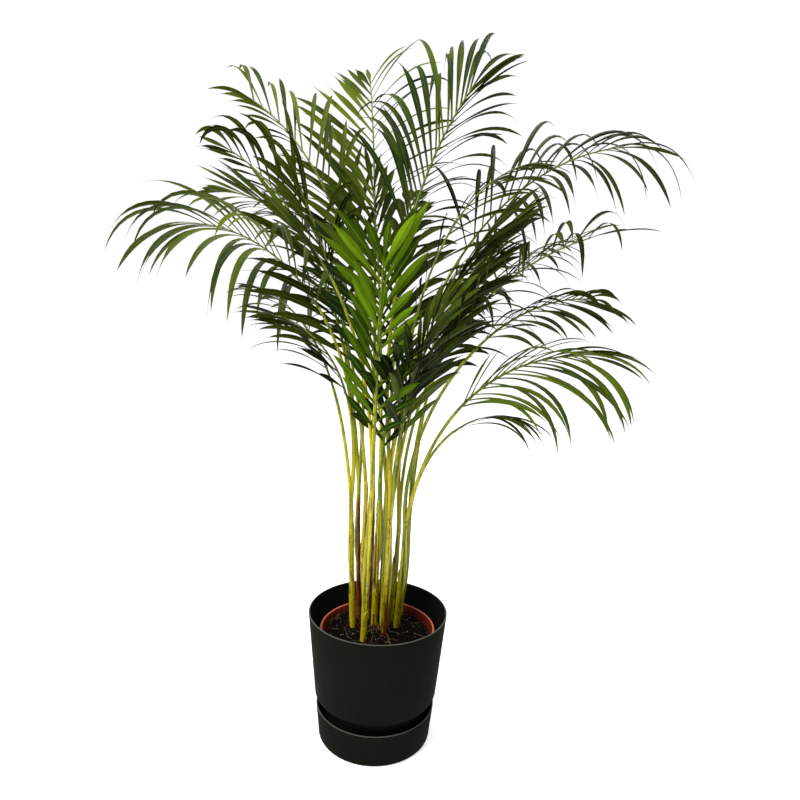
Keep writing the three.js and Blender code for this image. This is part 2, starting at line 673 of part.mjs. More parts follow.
// Nursery pot: a thin wall with a rolled lip and drain holes through its floor.
function nurseryPot() {
  const under = NURSERY_HEIGHT - 7;
  const wall = NURSERY_WALL;
  let pot = solidOf(
    turned(
      [
        [0, nurseryFloor],
        [NURSERY_BASE_RADIUS - 2, nurseryFloor],
        [nurseryRadius(nurseryFloor + 2), nurseryFloor + 2],
        [nurseryRadius(under), under],
        [NURSERY_LIP_RADIUS - 0.6, under],
        [NURSERY_LIP_RADIUS, under + 1.5],
        [NURSERY_LIP_RADIUS, NURSERY_HEIGHT - 1.5],
        [NURSERY_LIP_RADIUS - 1.5, NURSERY_HEIGHT],
        [NURSERY_LIP_RADIUS - 5, NURSERY_HEIGHT],
        [NURSERY_LIP_RADIUS - 6 - wall, NURSERY_HEIGHT - 2],
        [nurseryRadius(under) - wall, under],
        [nurseryRadius(nurseryFloor + wall) - wall, nurseryFloor + wall],
        [0, nurseryFloor + wall],
      ],
      40,
    ),
  );
  for (let i = 0; i < DRAIN_HOLES; i++) {
    const turn = (i / DRAIN_HOLES) * Math.PI * 2;
    const hole = new THREE.CylinderGeometry(DRAIN_RADIUS, DRAIN_RADIUS, 10, 12);
    hole.rotateX(Math.PI / 2);
    hole.translate(DRAIN_CIRCLE * Math.cos(turn), DRAIN_CIRCLE * Math.sin(turn), nurseryFloor);
    pot = pot.subtract(solidOf(hole));
  }
  return pot;
}

function caneCurve(cane, beyond) {
  const foot = new THREE.Vector3(...cane.foot);
  const neck = new THREE.Vector3(...cane.neck);
  const along = neck.clone().sub(foot).normalize();
  return new THREE.LineCurve3(foot, neck.addScaledVector(along, beyond));
}

// Soil: fills the nursery pot up to a slightly lumpy top, with a plain hole for each cane.
function soil() {
  const gap = NURSERY_WALL + CLEARANCE;
  const floor = nurseryFloor + gap;
  const edge = nurseryRadius(SOIL_TOP) - gap;
  const geometry = turned(
    [
      [0, floor],
      [nurseryRadius(floor) - gap - 0.5, floor],
      [edge, SOIL_TOP - 1],
      [edge * 0.8, SOIL_TOP + 0.5],
      [edge * 0.55, SOIL_TOP + 1],
      [edge * 0.3, SOIL_TOP + 1],
      [0, SOIL_TOP + 1],
    ],
    40,
  );
  const position = geometry.getAttribute('position');
  for (let i = 0; i < position.count; i++) {
    const [x, y, z] = [position.getX(i), position.getY(i), position.getZ(i)];
    const radius = Math.hypot(x, y);
    if (z < SOIL_TOP || radius < 1) continue;
    const lump = wobble(Math.round(x), Math.round(y)) * SOIL_LUMPS;
    position.setZ(i, z + lump);
  }
  let body = solidOf(geometry);
  for (const cane of CANES) {
    const deeper = { ...cane, foot: [cane.foot[0], cane.foot[1], cane.foot[2] - CLEARANCE] };
    const hole = limb(caneCurve(deeper, 0), () => CANE_FOOT_RADIUS + CLEARANCE, CANE_SIDES, 1);
    body = body.subtract(solidOf(hole));
  }
  return body;
}

add('saucer', saucer(), COLOURS.charcoal, 0.55);
add('outer_pot', outerPot(), COLOURS.charcoal, 0.55);
add('nursery_pot', nurseryPot(), COLOURS.terracotta, 0.5);
add('soil', soil(), COLOURS.soil, 0.95);

// Canes with their bare leaf stalks.
const curves = FRONDS.map((frond) => new RibCurve(frond, CANES[frond.cane - 1].neck));
const canes = CANES.map((cane, number) => {
  const radiusAt = (t) => {
    const neck = t > 0.93 ? (t - 0.93) / 0.07 : 0;
    return THREE.MathUtils.lerp(CANE_FOOT_RADIUS, CANE_NECK_RADIUS, t) * (1 - 0.35 * neck);
  };
  let body = solidOf(limb(caneCurve(cane, CANE_NECK_LENGTH), radiusAt, CANE_SIDES, 6));
  FRONDS.forEach((frond, index) => {
    if (frond.cane !== number + 1) return;
    const whole = curves[index];
    const stalk = new THREE.Curve();
    stalk.getPointAt = (t, target) => whole.getPoint(t * frond.bare, target);
    stalk.getTangentAt = (t) => whole.getTangentAt(t * frond.bare);
    const stalkRadius = (t) => THREE.MathUtils.lerp(STALK_BASE_RADIUS, STALK_TIP_RADIUS, Math.sqrt(t));
    body = body.add(solidOf(limb(stalk, stalkRadius, STALK_SIDES, 6)));
  });
  return body;
});

canes.forEach((body, number) => {
  const node = label('cane', number + 1);
  place(body, node, 'cane');
  add(node, body, COLOURS.cane, 0.5);
});

// Ribs come first, so that every leaflet can be bent clear of all of them.
FRONDS.forEach((frond, index) => {
  const curve = curves[index];
  const rib = new THREE.Curve();
  rib.getPointAt = (t, target) => curve.getPoint(leafyPlace(frond, t), target);
  rib.getTangentAt = (t) => curve.getTangentAt(leafyPlace(frond, t));
  const room = limb(rib, (t) => THREE.MathUtils.lerp(RIB_BASE, RIB_TIP, t) + 0.9, 6, 12);
  place(solidOf(room), label('frond', index + 1), 'rib');
});

// Ways to bend a leaflet clear, mildest first.
const CHANGES = [
  { swing: 0, lift: 0, size: 1 },
  { swing: 5, lift: 0, size: 1 },
  { swing: -5, lift: 0, size: 1 },
  { swing: 0, lift: 9, size: 1 },
  { swing: 0, lift: -9, size: 1 },
  { swing: 8, lift: 10, size: 0.96 },
  { swing: -8, lift: 10, size: 0.96 },
  { swing: 9, lift: -12, size: 0.92 },
  { swing: -9, lift: -12, size: 0.92 },
  { swing: 0, lift: 22, size: 0.9 },
  { swing: 0, lift: -22, size: 0.9 },
  { swing: 0, lift: 0, size: 0.75 },
  { swing: 4, lift: 6, size: 0.58 },
  { swing: 0, lift: 0, size: 0.45 },
];

// Finds the mildest change that keeps a leaflet clear of everything placed before it.
function settle(frond, curve, index, side, q, key) {
  const node = label('frond', index + 1);
  const own = (other) => other.node === node;
  const notOwnLeaflet = (other) => other.node !== node || other.kind === 'rib';
  const notOwnRib = (other) => other.node !== node || other.kind !== 'rib';
  for (const change of CHANGES) {
    const line = leafletLine(frond, curve, side, q, key, change);
    const whole = leafletRoom(frond, line, 0, GUARD);
    const outer = leafletRoom(frond, line, 1, GUARD, 0.8);
    const far = leafletRoom(frond, line, 3, GUARD);
    const clear =
      !meets(whole, own) &&
      !meets(outer, notOwnLeaflet) &&
      (q === 1 || !meets(far, notOwnRib));
    for (const room of [whole, outer, far]) room.delete();
    if (clear) {
      place(leafletRoom(frond, line, 0, 0.02), node, 'leaflet');
      return line;
    }
  }
  return null;
}

FRONDS.forEach((frond, index) => {
  const curve = curves[index];
  const leaflets = [];
  leaflets.endLine = settle(frond, curve, index, 1, 1, index * 100 + 99);
  leaflets.endLine ??= leafletLine(frond, curve, 1, 1, index * 100 + 99, CHANGES.at(-1));
  for (let i = 0; i < frond.pairs; i += 2) {
    for (const side of [1, -1]) {
      const from = (i + (side > 0 ? 0 : 0.5)) / frond.pairs + 0.012;
      const to = from + 0.5 / frond.pairs - (side > 0 ? 0 : 0.012);
      const q = (from + to) / 2;
      const line = settle(frond, curve, index, side, q, index * 100 + i * 2 + (side > 0 ? 1 : 0));
      if (line) leaflets.push({ from, to, line });
    }
  }
  const blade = new FrondGeometry(frond, curve, leaflets);
  add(label('frond', index + 1), solidOf(blade), COLOURS[frond.tone], 0.45);
});

export default palm;
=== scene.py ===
"""A feather palm in its nursery pot, standing in a charcoal planter on a deep saucer.

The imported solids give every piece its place. This script dresses them: each solid is replaced by a
finer piece of the same form, and the soil gets its crumbs, grit, roots and fibres. Metres, +Z up.
"""

import logging
import math
import random
from collections.abc import Callable, Iterable
from dataclasses import dataclass
from enum import Enum

import bmesh
import bpy
from mathutils import Euler, Matrix, Vector, noise


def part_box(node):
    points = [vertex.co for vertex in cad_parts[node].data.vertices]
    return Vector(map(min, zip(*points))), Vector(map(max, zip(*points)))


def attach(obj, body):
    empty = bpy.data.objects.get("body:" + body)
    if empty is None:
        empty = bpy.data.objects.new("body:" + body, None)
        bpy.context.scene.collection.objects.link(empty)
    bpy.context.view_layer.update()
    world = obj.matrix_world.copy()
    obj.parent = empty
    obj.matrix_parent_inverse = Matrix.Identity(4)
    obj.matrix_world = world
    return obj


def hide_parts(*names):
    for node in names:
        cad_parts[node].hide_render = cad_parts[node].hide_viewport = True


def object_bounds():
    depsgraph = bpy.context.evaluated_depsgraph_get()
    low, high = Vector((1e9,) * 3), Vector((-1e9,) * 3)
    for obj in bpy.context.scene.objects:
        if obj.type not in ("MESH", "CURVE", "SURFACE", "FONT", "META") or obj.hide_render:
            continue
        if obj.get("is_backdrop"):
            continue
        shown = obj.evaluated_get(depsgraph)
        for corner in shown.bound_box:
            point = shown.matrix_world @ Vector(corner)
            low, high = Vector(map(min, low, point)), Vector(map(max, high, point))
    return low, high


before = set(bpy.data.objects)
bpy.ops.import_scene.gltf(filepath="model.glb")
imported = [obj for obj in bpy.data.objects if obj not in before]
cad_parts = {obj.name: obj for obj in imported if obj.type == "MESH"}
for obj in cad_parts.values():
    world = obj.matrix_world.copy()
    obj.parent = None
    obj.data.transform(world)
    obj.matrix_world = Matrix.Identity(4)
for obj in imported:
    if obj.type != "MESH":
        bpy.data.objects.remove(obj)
CAD_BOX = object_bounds()

MM = 0.001
DOWN = Vector((0, 0, -1))
log = logging.getLogger("potted_palm")

Tree = bpy.types.NodeTree
Socket = bpy.types.NodeSocket
# The numbers of a Mix node's two colours.
UNDER, OVER = 6, 7
Shape = Callable[[float, float, float], tuple[float, float]]
Marks = Callable[[float, float, float], dict[str, float]]


class Slot(Enum):
    """The record's material slots."""

    CHARCOAL = "charcoal_plastic"
    TERRACOTTA = "terracotta_plastic"
    SOIL = "potting_soil"
    CANE = "cane"
    DEEP = "leaf_deep"
    MID = "leaf_mid"
    YOUNG = "leaf_young"


def linear(colour: str) -> tuple[float, float, float, float]:
    """Turns an sRGB hex colour into linear light.

    Args:
        colour: Six hex digits.

    Returns:
        Linear red, green and blue, and a full alpha.
    """
    shares = [int(colour[i : i + 2], 16) / 255 for i in (0, 2, 4)]
    red, green, blue = (s / 12.92 if s <= 0.04045 else ((s + 0.055) / 1.055) ** 2.4 for s in shares)
    return red, green, blue, 1.0


def wobble(a: float, b: float) -> float:
    """A repeatable draw between -1 and 1, the same one that the solids use.

    Args:
        a: The first number that the draw hangs on.
        b: The second.

    Returns:
        The draw.
    """
    value = math.sin(a * 12.9898 + b * 78.233) * 43758.5453
    return 2 * (value - math.floor(value)) - 1


def ease(share: float) -> float:
    """A smooth step from 0 to 1 as share goes from 0 to 1."""
    share = min(max(share, 0.0), 1.0)
    return share * share * (3 - 2 * share)


def mix(a: float, b: float, share: float) -> float:
    """The number a share of the way from a to b."""
    return a + (b - a) * share


def level(turn: float) -> Vector:
    """The level direction at an angle from +X."""
    return Vector((math.cos(turn), math.sin(turn), 0))


def add_object(name: str, data: bpy.types.ID) -> bpy.types.Object:
    """Makes an object of some data and puts it in the scene."""
    made = bpy.data.objects.new(name, data)
    bpy.context.scene.collection.objects.link(made)
    return made


def add_node(
    tree: Tree,
    kind: str,
    sockets: dict[str | int, Socket | float | tuple[float, ...]] | None = None,
    out: str = "",
    stops: Iterable[tuple[float, str]] = (),
    **settings: object,
) -> Socket | None:
    """Adds one node with its settings, values and links.

    Args:
        tree: The node tree.
        kind: The node's type, less the word ShaderNode that they all start with.
        sockets: A value, or an output to link, for each input by name or number.
        out: The output to give back, or else the first one that is in use.
        stops: The places and hex colours of a colour ramp.
        **settings: The node's own properties.

    Returns:
        The node's output, where it has one.
    """
    node = tree.nodes.new("ShaderNode" + kind)
    for name, value in settings.items():
        setattr(node, name, value)
    for name, value in (sockets or {}).items():
        if isinstance(value, Socket):
            tree.links.new(value, node.inputs[name])
        else:
            node.inputs[name].default_value = value
    for i, (place, colour) in enumerate(stops):
        elements = node.color_ramp.elements
        element = elements[i] if i < 2 else elements.new(place)
        element.position = place
        element.color = linear(colour)
    return node.outputs[out] if out else next((each for each in node.outputs if each.enabled), None)


@dataclass(frozen=True)
class Finish:
    """What a surface is made of. Each kind of finish says how its nodes are laid."""

    name: str

    def surface(self, tree: Tree) -> Socket:
        """Lays the finish's nodes and returns the shader's output."""
        raise NotImplementedError

    def material(self) -> bpy.types.Material:
        """The finish's material, made the first time that it is asked for."""
        found = bpy.data.materials.get(self.name)
        if found is not None:
            return found
        made = bpy.data.materials.new(self.name)
        made.use_nodes = True
        tree = made.node_tree
        tree.nodes.clear()
        add_node(tree, "OutputMaterial", {"Surface": self.surface(tree)})
        return made


@dataclass(frozen=True)
class MouldedPlastic(Finish):
    """Injection-moulded polypropylene from an etched tool: matte, with a fine even grain and slight
    cloudiness where the melt flowed. Handling leaves faint pale rubs. The paler edge colour along the
    rim, where the mark "rim" is set, is a painted highlight."""

    colour: str = "0f100b"
    cloud: str = "131410"
    rub: str = "1d1e18"
    # The paler colour painted along the rim as a highlight, where the mark "rim" is set.
    edge: str = "4b4c43"
    roughness: float = 0.65
    specular: float = 0.01
    ior: float = 1.49
    grain_mm: float = 1.1
    relief_mm: float = 0.15
    rub_mm: float = 16.0
    cloud_mm: float = 90.0

    def surface(self, tree: Tree) -> Socket:
        """Lays the finish's nodes and returns the shader's output."""
        place = add_node(tree, "TexCoord", out="Object")
        # The mark "rim" says where the painted rim highlight goes.
        rim = add_node(tree, "Attribute", out="Fac", attribute_name="rim")
        cloud, rubs, grain = (
            add_node(tree, "TexNoise", {"Vector": place, "Scale": 1 / (size * MM), "Detail": detail})
            for size, detail in ((self.cloud_mm, 3.0), (self.rub_mm, 6.0), (self.grain_mm, 2.0))
        )
        rubs = add_node(tree, "MapRange", {"Value": rubs, "From Min": 0.6, "From Max": 0.78, "To Max": 0.3})
        base = linear(self.colour)
        # The last colour, edge, paints the rim highlight.
        for colour, share in ((self.cloud, cloud), (self.rub, rubs), (self.edge, rim)):
            sockets = {"Factor": share, UNDER: base, OVER: linear(colour)}
            base = add_node(tree, "Mix", sockets, data_type="RGBA")
        relief = add_node(
            tree, "Bump", {"Height": grain, "Strength": 0.25, "Distance": self.relief_mm * MM}
        )
        sockets = {"Roughness": self.roughness, "IOR": self.ior, "Specular IOR Level": self.specular}
        return add_node(tree, "BsdfPrincipled", {"Base Color": base, "Normal": relief, **sockets})


@dataclass(frozen=True)
class LooseMatter(Finish):
    """Crumbled or fibrous matter, such as peat, bark, volcanic glass grit or dry roots: dull, in
    two shades that change from grain to grain."""

    dark: str
    light: str
    grain_mm: float = 4.0
    relief_mm: float = 0.8
    roughness: float = 0.95
    specular: float = 0.05

    def surface(self, tree: Tree) -> Socket:
        """Lays the finish's nodes and returns the shader's output."""
        place = add_node(tree, "TexCoord", out="Object")
        sockets = {"Vector": place, "Scale": 1 / (self.grain_mm * MM), "Detail": 8.0, "Roughness": 0.7}
        grain = add_node(tree, "TexNoise", sockets)
        base = add_node(tree, "ValToRGB", {"Fac": grain}, stops=((0.36, self.dark), (0.72, self.light)))
        relief = add_node(
            tree, "Bump", {"Height": grain, "Strength": 0.8, "Distance": self.relief_mm * MM}
        )
        sockets = {"Roughness": self.roughness, "Specular IOR Level": self.specular}
        return add_node(tree, "BsdfPrincipled", {"Base Color": base, "Normal": relief, **sockets})


@dataclass(frozen=True)
class Streaks:
    """Marks that run up a cane.

    wide and long are one mark's size in millimetres. A mark begins where the noise passes start and
    is full, at the strength most, where it passes end.
    """

    wide: float
    long: float
    start: float
    end: float
    most: float

    def laid(self, tree: Tree, place: Socket) -> Socket:
        """Lays the marks and returns how strong they are at each place."""
        scale = (1 / (self.wide * MM), 1 / (self.wide * MM), 1 / (self.long * MM))
        drawn = add_node(tree, "Mapping", {"Vector": place, "Scale": scale})
        field = add_node(tree, "TexNoise", {"Vector": drawn, "Scale": 1.0, "Detail": 4.0})
        sockets = {"Value": field, "From Min": self.start, "From Max": self.end, "To Max": self.most}
        return add_node(tree, "MapRange", sockets)


@dataclass(frozen=True)
class CaneSkin(Finish):
    """The waxy skin of a palm's cane and leaf stalks: yellow-green with long streaks, cracks between its
    strands, grooved and painted dark as the shade in them, brown speckles, pale flakes and, by the mark
    "dry", dead brown sheath."""

    green: str = "466406"
    yellow: str = "b3a40f"
    brown: str = "3d1e09"
    flake: str = "cabd62"
    # The dark colour painted in the cracks between strands, as the shade in them.
    crack_shade: str = "2c2506"
    husk: str = "7d4219"
    roughness: float = 0.36
    specular: float = 0.2
    unripe: float = 0.6
    crack_mm: float = 0.5
    tints: Streaks = Streaks(3.4, 140.0, 0.25, 0.75, 1.2)
    flakes: Streaks = Streaks(4.0, 22.0, 0.58, 0.68, 0.6)
    # Speckles are a millimetre or two across, drawn a little coarser than life, and lie in patches.
    speckles: Streaks = Streaks(1.9, 5.5, 0.5, 0.62, 1.3)
    patches: Streaks = Streaks(16.0, 75.0, 0.46, 0.66, 1.0)
    threads: Streaks = Streaks(2.4, 30.0, 0.4, 0.62, 1.0)
    cracks: Streaks = Streaks(1.7, 120.0, 0.58, 0.68, 0.6)

    def surface(self, tree: Tree) -> Socket:
        """Lays the finish's nodes and returns the shader's output."""
        place = add_node(tree, "TexCoord", out="Object")
        ripe, dry = (add_node(tree, "Attribute", out="Fac", attribute_name=each) for each in ("ripe", "dry"))
        kinds = (self.tints, self.flakes, self.speckles, self.patches, self.threads, self.cracks)
        tints, flakes, speckles, patches, threads, cracks = (each.laid(tree, place) for each in kinds)
        tints = add_node(tree, "Math", {0: tints, 1: ripe}, operation="ADD")
        tints = add_node(tree, "Math", {0: tints, 1: -self.unripe}, operation="ADD", use_clamp=True)
        flakes = add_node(tree, "Math", {0: flakes, 1: ripe}, operation="MULTIPLY")
        spots = add_node(tree, "Math", {0: speckles, 1: patches}, operation="MULTIPLY")
        spots = add_node(tree, "Math", {0: spots, 1: ripe}, operation="MULTIPLY", use_clamp=True)
        sockets = {"Factor": threads, UNDER: linear(self.brown), OVER: linear(self.husk)}
        dead = add_node(tree, "Mix", sockets, data_type="RGBA")
        base = linear(self.green)
        for colour, share in (
            (linear(self.yellow), tints),
            (linear(self.flake), flakes),
            (linear(self.brown), spots),
            (dead, dry),
            # Painted shade in the cracks between strands.
            (linear(self.crack_shade), cracks),
        ):
            base = add_node(tree, "Mix", {"Factor": share, UNDER: base, OVER: colour}, data_type="RGBA")
        relief = add_node(
            tree, "Bump", {"Height": cracks, "Strength": 0.8, "Distance": -self.crack_mm * MM}
        )
        sockets = {"Roughness": self.roughness, "Specular IOR Level": self.specular}
        return add_node(tree, "BsdfPrincipled", {"Base Color": base, "Normal": relief, **sockets})


@dataclass(frozen=True)
class LeafBlade(Finish):
    """A palm leaflet: a tough waxy skin with fine veins along it and a pale midrib, thin enough
    for light from behind to glow through in a yellower green."""

    shade: str
    light: str
    midrib: str = "55661f"
    glow: str = "4d690a"
    straw: str = "5c4f33"
    roughness: float = 0.45
    specular: float = 0.08
    sheer: float = 0.2
    cloud_mm: float = 38.0
    vein_mm: float = 0.12
    # Real veins are under a millimetre apart. These are drawn as wide as the picture can show.
    veins: float = 9.0

    def surface(self, tree: Tree) -> Socket:
        """Lays the finish's nodes and returns the shader's output."""
        place = add_node(tree, "TexCoord", out="Object")
        across, along, tone_and_shade, dry = (
            add_node(tree, "Attribute", out="Fac", attribute_name=each)
            for each in ("across", "along", "tone_and_shade", "dry")
        )
        sockets = {"Vector": place, "Scale": 1 / (self.cloud_mm * MM), "Detail": 3.0}
        cloud = add_node(tree, "TexNoise", sockets)
        cloud = add_node(tree, "Math", {0: cloud, 1: 0.7, 2: -0.35}, operation="MULTIPLY_ADD")
        # Each leaflet's mark holds its own lightness, lowered as painted shade in the crown's core.
        tone_and_shade = add_node(tree, "Math", {0: cloud, 1: tone_and_shade}, operation="ADD", use_clamp=True)
        side = add_node(tree, "Math", {0: across}, operation="ABSOLUTE")
        # The pale colour fades out away from the midrib, and up from the leaflet's root.
        rib, root = (
            add_node(tree, "MapRange", {"Value": value, "From Max": end, "To Min": most, "To Max": 0.0})
            for value, end, most in ((side, 0.14, 0.6), (along, 0.12, 0.7))
        )
        pale = add_node(tree, "Math", {0: rib, 1: root}, operation="MAXIMUM")
        base = linear(self.shade)
        for colour, share in ((self.light, tone_and_shade), (self.midrib, pale), (self.straw, dry)):
            sockets = {"Factor": share, UNDER: base, OVER: linear(colour)}
            base = add_node(tree, "Mix", sockets, data_type="RGBA")
        vein = add_node(tree, "Math", {0: across, 1: self.veins * math.pi}, operation="MULTIPLY")
        vein = add_node(tree, "Math", {0: vein}, operation="SINE")
        relief = add_node(tree, "Bump", {"Height": vein, "Strength": 0.35, "Distance": self.vein_mm * MM})
        sockets = {"Roughness": self.roughness, "Specular IOR Level": self.specular}
        skin = add_node(tree, "BsdfPrincipled", {"Base Color": base, "Normal": relief, **sockets})
        sockets = {"Factor": 0.55, UNDER: base, OVER: linear(self.glow)}
        through = add_node(tree, "Mix", sockets, data_type="RGBA")
        glow = add_node(tree, "BsdfTranslucent", {"Color": through})
        return add_node(tree, "MixShader", {"Fac": self.sheer, 1: skin, 2: glow})


CHARCOAL = MouldedPlastic("charcoal_polypropylene")
# The fourth colour, ad5b44, is the painted highlight along the lip.
TERRACOTTA = MouldedPlastic(
    "terracotta_polypropylene", "44140a", "50190e", "6c2c1b", "ad5b44", roughness=0.5, specular=0.06
)
PEAT = LooseMatter("damp_potting_peat", "030201", "0f0906")
BARK = LooseMatter("composted_bark", "060302", "1c100a", grain_mm=2.5)
GRIT = LooseMatter("perlite_grit", "a9a69d", "efede6", grain_mm=1.5, relief_mm=0.4)
FIBRE = LooseMatter("dry_root_fibre", "3d3022", "9c8763", grain_mm=6.0, relief_mm=0.2)
ROOT = LooseMatter("palm_root", "2a120a", "6a3720", grain_mm=5.0, relief_mm=0.5)
CANE = CaneSkin("waxy_cane_skin")
# The stalk's last colour, 1c2406, is the painted shade in its cracks.
STALK = CaneSkin("leaf_stalk_skin", "35490a", "76840f", "3c3c10", "94a23a", "1c2406")
YOUNG = ("1c3203", "6a8a0b", "809e16", "809f08")
# Each frond's upper finish, and the duller one below.
GREENS = {
    Slot.DEEP: (
        LeafBlade("deep_leaf_upper", "0b1302", "2e3b06", specular=0.05),
        LeafBlade("deep_leaf_under", "101803", "384009", roughness=0.7, specular=0.02),
    ),
    Slot.MID: (
        LeafBlade("mid_leaf_upper", "142304", "506209"),
        LeafBlade("mid_leaf_under", "1a2a06", "56650e", roughness=0.7, specular=0.04),
    ),
    Slot.YOUNG: (
        LeafBlade("young_leaf_upper", *YOUNG, specular=0.04, sheer=0.28),
        LeafBlade("young_leaf_under", *YOUNG, roughness=0.7, specular=0.02, sheer=0.28),
    ),
}


@dataclass
class Line:
    """A line in space, evenly spaced points with two directions across it at each."""

    points: list[Vector]
    across: list[Vector]
    away: list[Vector]

    def at(self, share: float) -> tuple[Vector, Vector, Vector]:
        """The place at a share of the line.

        Args:
            share: From 0 at the start to 1 at the end.

        Returns:
            The point and the two directions across the line there.
        """
        place = min(max(share, 0.0), 1.0) * (len(self.points) - 1)
        row = min(int(place), len(self.points) - 2)
        part = place - row
        lists = (self.points, self.across, self.away)
        point, across, away = (each[row].lerp(each[row + 1], part) for each in lists)
        return point, across.normalized(), away.normalized()

    def part(self, start: float, end: float, rows: int) -> "Line":
        """The stretch of the line between two shares of it, in a number of straight steps."""
        places = [self.at(mix(start, end, i / rows)) for i in range(rows + 1)]
        return Line(*(list(each) for each in zip(*places)))

    @classmethod
    def through(cls, points: list[Vector], side: Vector = Vector((0, 1, 0))) -> "Line":
        """A line through points, whose across direction keeps near one side.

        Args:
            points: The points that it passes.
            side: The direction that across is kept near.

        Returns:
            The line.
        """
        across, away = [], []
        for before, after in zip(points[:1] + points, points[1:] + points[-1:]):
            along = (after - before).normalized()
            across.append((side - along * side.dot(along)).normalized())
            away.append(along.cross(across[-1]))
        return cls(points, across, away)


class Blank:
    """A mesh in the making, with the marks that its finish reads at each corner."""

    def __init__(self, *marks: str) -> None:
        """Starts an empty mesh with a number at each corner for every mark."""
        self.bm = bmesh.new()
        self.layers = {name: self.bm.verts.layers.float.new(name) for name in marks}

    def tube(
        self, line: Line, shape: Shape, sides: int, rows: int, marks: Marks | None = None, under: int = 0
    ) -> None:
        """Bends a closed tube along a line.

        Args:
            line: The line that it follows.
            shape: Gives the steps across the line, in metres, from a corner's share along it and
                its x and y on a circle of radius 1.
            sides: How many corners it has around.
            rows: How many rows it is cut into.
            marks: Gives the corner's marks from the same three numbers.
            under: The finish number of the faces on the far side of the away direction.
        """
        made = bmesh.ops.create_cone(
            self.bm, cap_ends=True, segments=sides, radius1=1, radius2=1, depth=1
        )
        feet = [v for v in made["verts"] if v.co.z < 0]
        rails = [e for v in feet for e in v.link_edges if e.other_vert(v).co.z > 0]
        cut = bmesh.ops.subdivide_edgering(
            self.bm,
            edges=rails,
            cuts=rows - 1,
            interp_mode="LINEAR",
            smooth=0,
            profile_shape="LINEAR",
            profile_shape_factor=0,
        )
        for face in cut["faces"]:
            if under and face.calc_center_median().y < -0.1:
                face.material_index = under
        for vert in dict.fromkeys(v for face in cut["faces"] for v in face.verts):
            x, y, share = vert.co.x, vert.co.y, vert.co.z + 0.5
            sideways, up = shape(share, x, y)
            point, across, away = line.at(share)
            vert.co = point + across * sideways + away * up
            if marks is not None:
                for name, value in marks(share, x, y).items():
                    vert[self.layers[name]] = value

    def turn(self, profile: list[tuple[float, float]], steps: int) -> None:
        """Turns a profile round the upright axis and closes it.

        Args:
            profile: Radius and height of each point, in metres.
            steps: How many faces it has around.
        """
        verts = [self.bm.verts.new((radius, 0, height)) for radius, height in profile]
        edges = [self.bm.edges.new(pair) for pair in zip(verts, verts[1:])]
        bmesh.ops.spin(
            self.bm, geom=verts + edges, axis=(0, 0, 1), angle=math.tau, steps=steps, use_merge=True
        )
        bmesh.ops.remove_doubles(self.bm, verts=self.bm.verts[:], dist=1e-6)

    def round_ring(self, radius: float, height: float, offset: float, segments: int = 3) -> None:
        """Rounds the sharp ring at a radius and height.

        Args:
            radius: The ring's radius.
            height: Its height.
            offset: How far the rounding reaches from it.
            segments: How many faces the rounding has.
        """
        near = 0.05 * MM

        def on_ring(vert: bmesh.types.BMVert) -> bool:
            """Whether a corner lies on the ring."""
            return abs(math.hypot(vert.co.x, vert.co.y) - radius) < near and abs(vert.co.z - height) < near

        ring = [e for e in self.bm.edges if on_ring(e.verts[0]) and on_ring(e.verts[1])]
        bmesh.ops.bevel(
            self.bm, geom=ring, offset=offset, affect="EDGES", segments=segments, profile=0.5, material=-1
        )

    def paint_rim_highlight(self, height: float, reach: float) -> None:
        """Marks the rim at a height, and what lies up to reach below it, for the painted rim highlight."""
        for vert in self.bm.verts:
            vert[self.layers["rim"]] = 1.0 if vert.co.z > height - reach else 0.0

    def mesh(self, name: str) -> bpy.types.Mesh:
        """Ends the mesh in the making and gives it back as data."""
        made = bpy.data.meshes.new(name)
        self.bm.to_mesh(made)
        self.bm.free()
        return made

    def piece(
        self,
        name: str,
        finishes: Iterable[Finish],
        slot: Slot,
        replaces: Iterable[str] = (),
        crease: float = 35,
    ) -> bpy.types.Object:
        """Ends the mesh and makes it a piece of the palm.

        Args:
            name: The piece's name.
            finishes: Its finishes, in the order of its faces' numbers.
            slot: The record's slot that its finishes belong to. It is not used.
            replaces: The solids that it stands for.
            crease: The angle in degrees past which an edge stays sharp.

        Returns:
            The piece's object.
        """
        bmesh.ops.recalc_face_normals(self.bm, faces=self.bm.faces[:])
        mesh = self.mesh(name)
        mesh.shade_smooth()
        mesh.set_sharp_from_angle(angle=math.radians(crease))
        for finish in finishes:
            mesh.materials.append(finish.material())
        made = add_object(name, mesh)
        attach(made, "root")
        if replaces:
            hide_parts(*replaces)
        log.info("%s: %d faces", name, len(mesh.polygons))
        return made


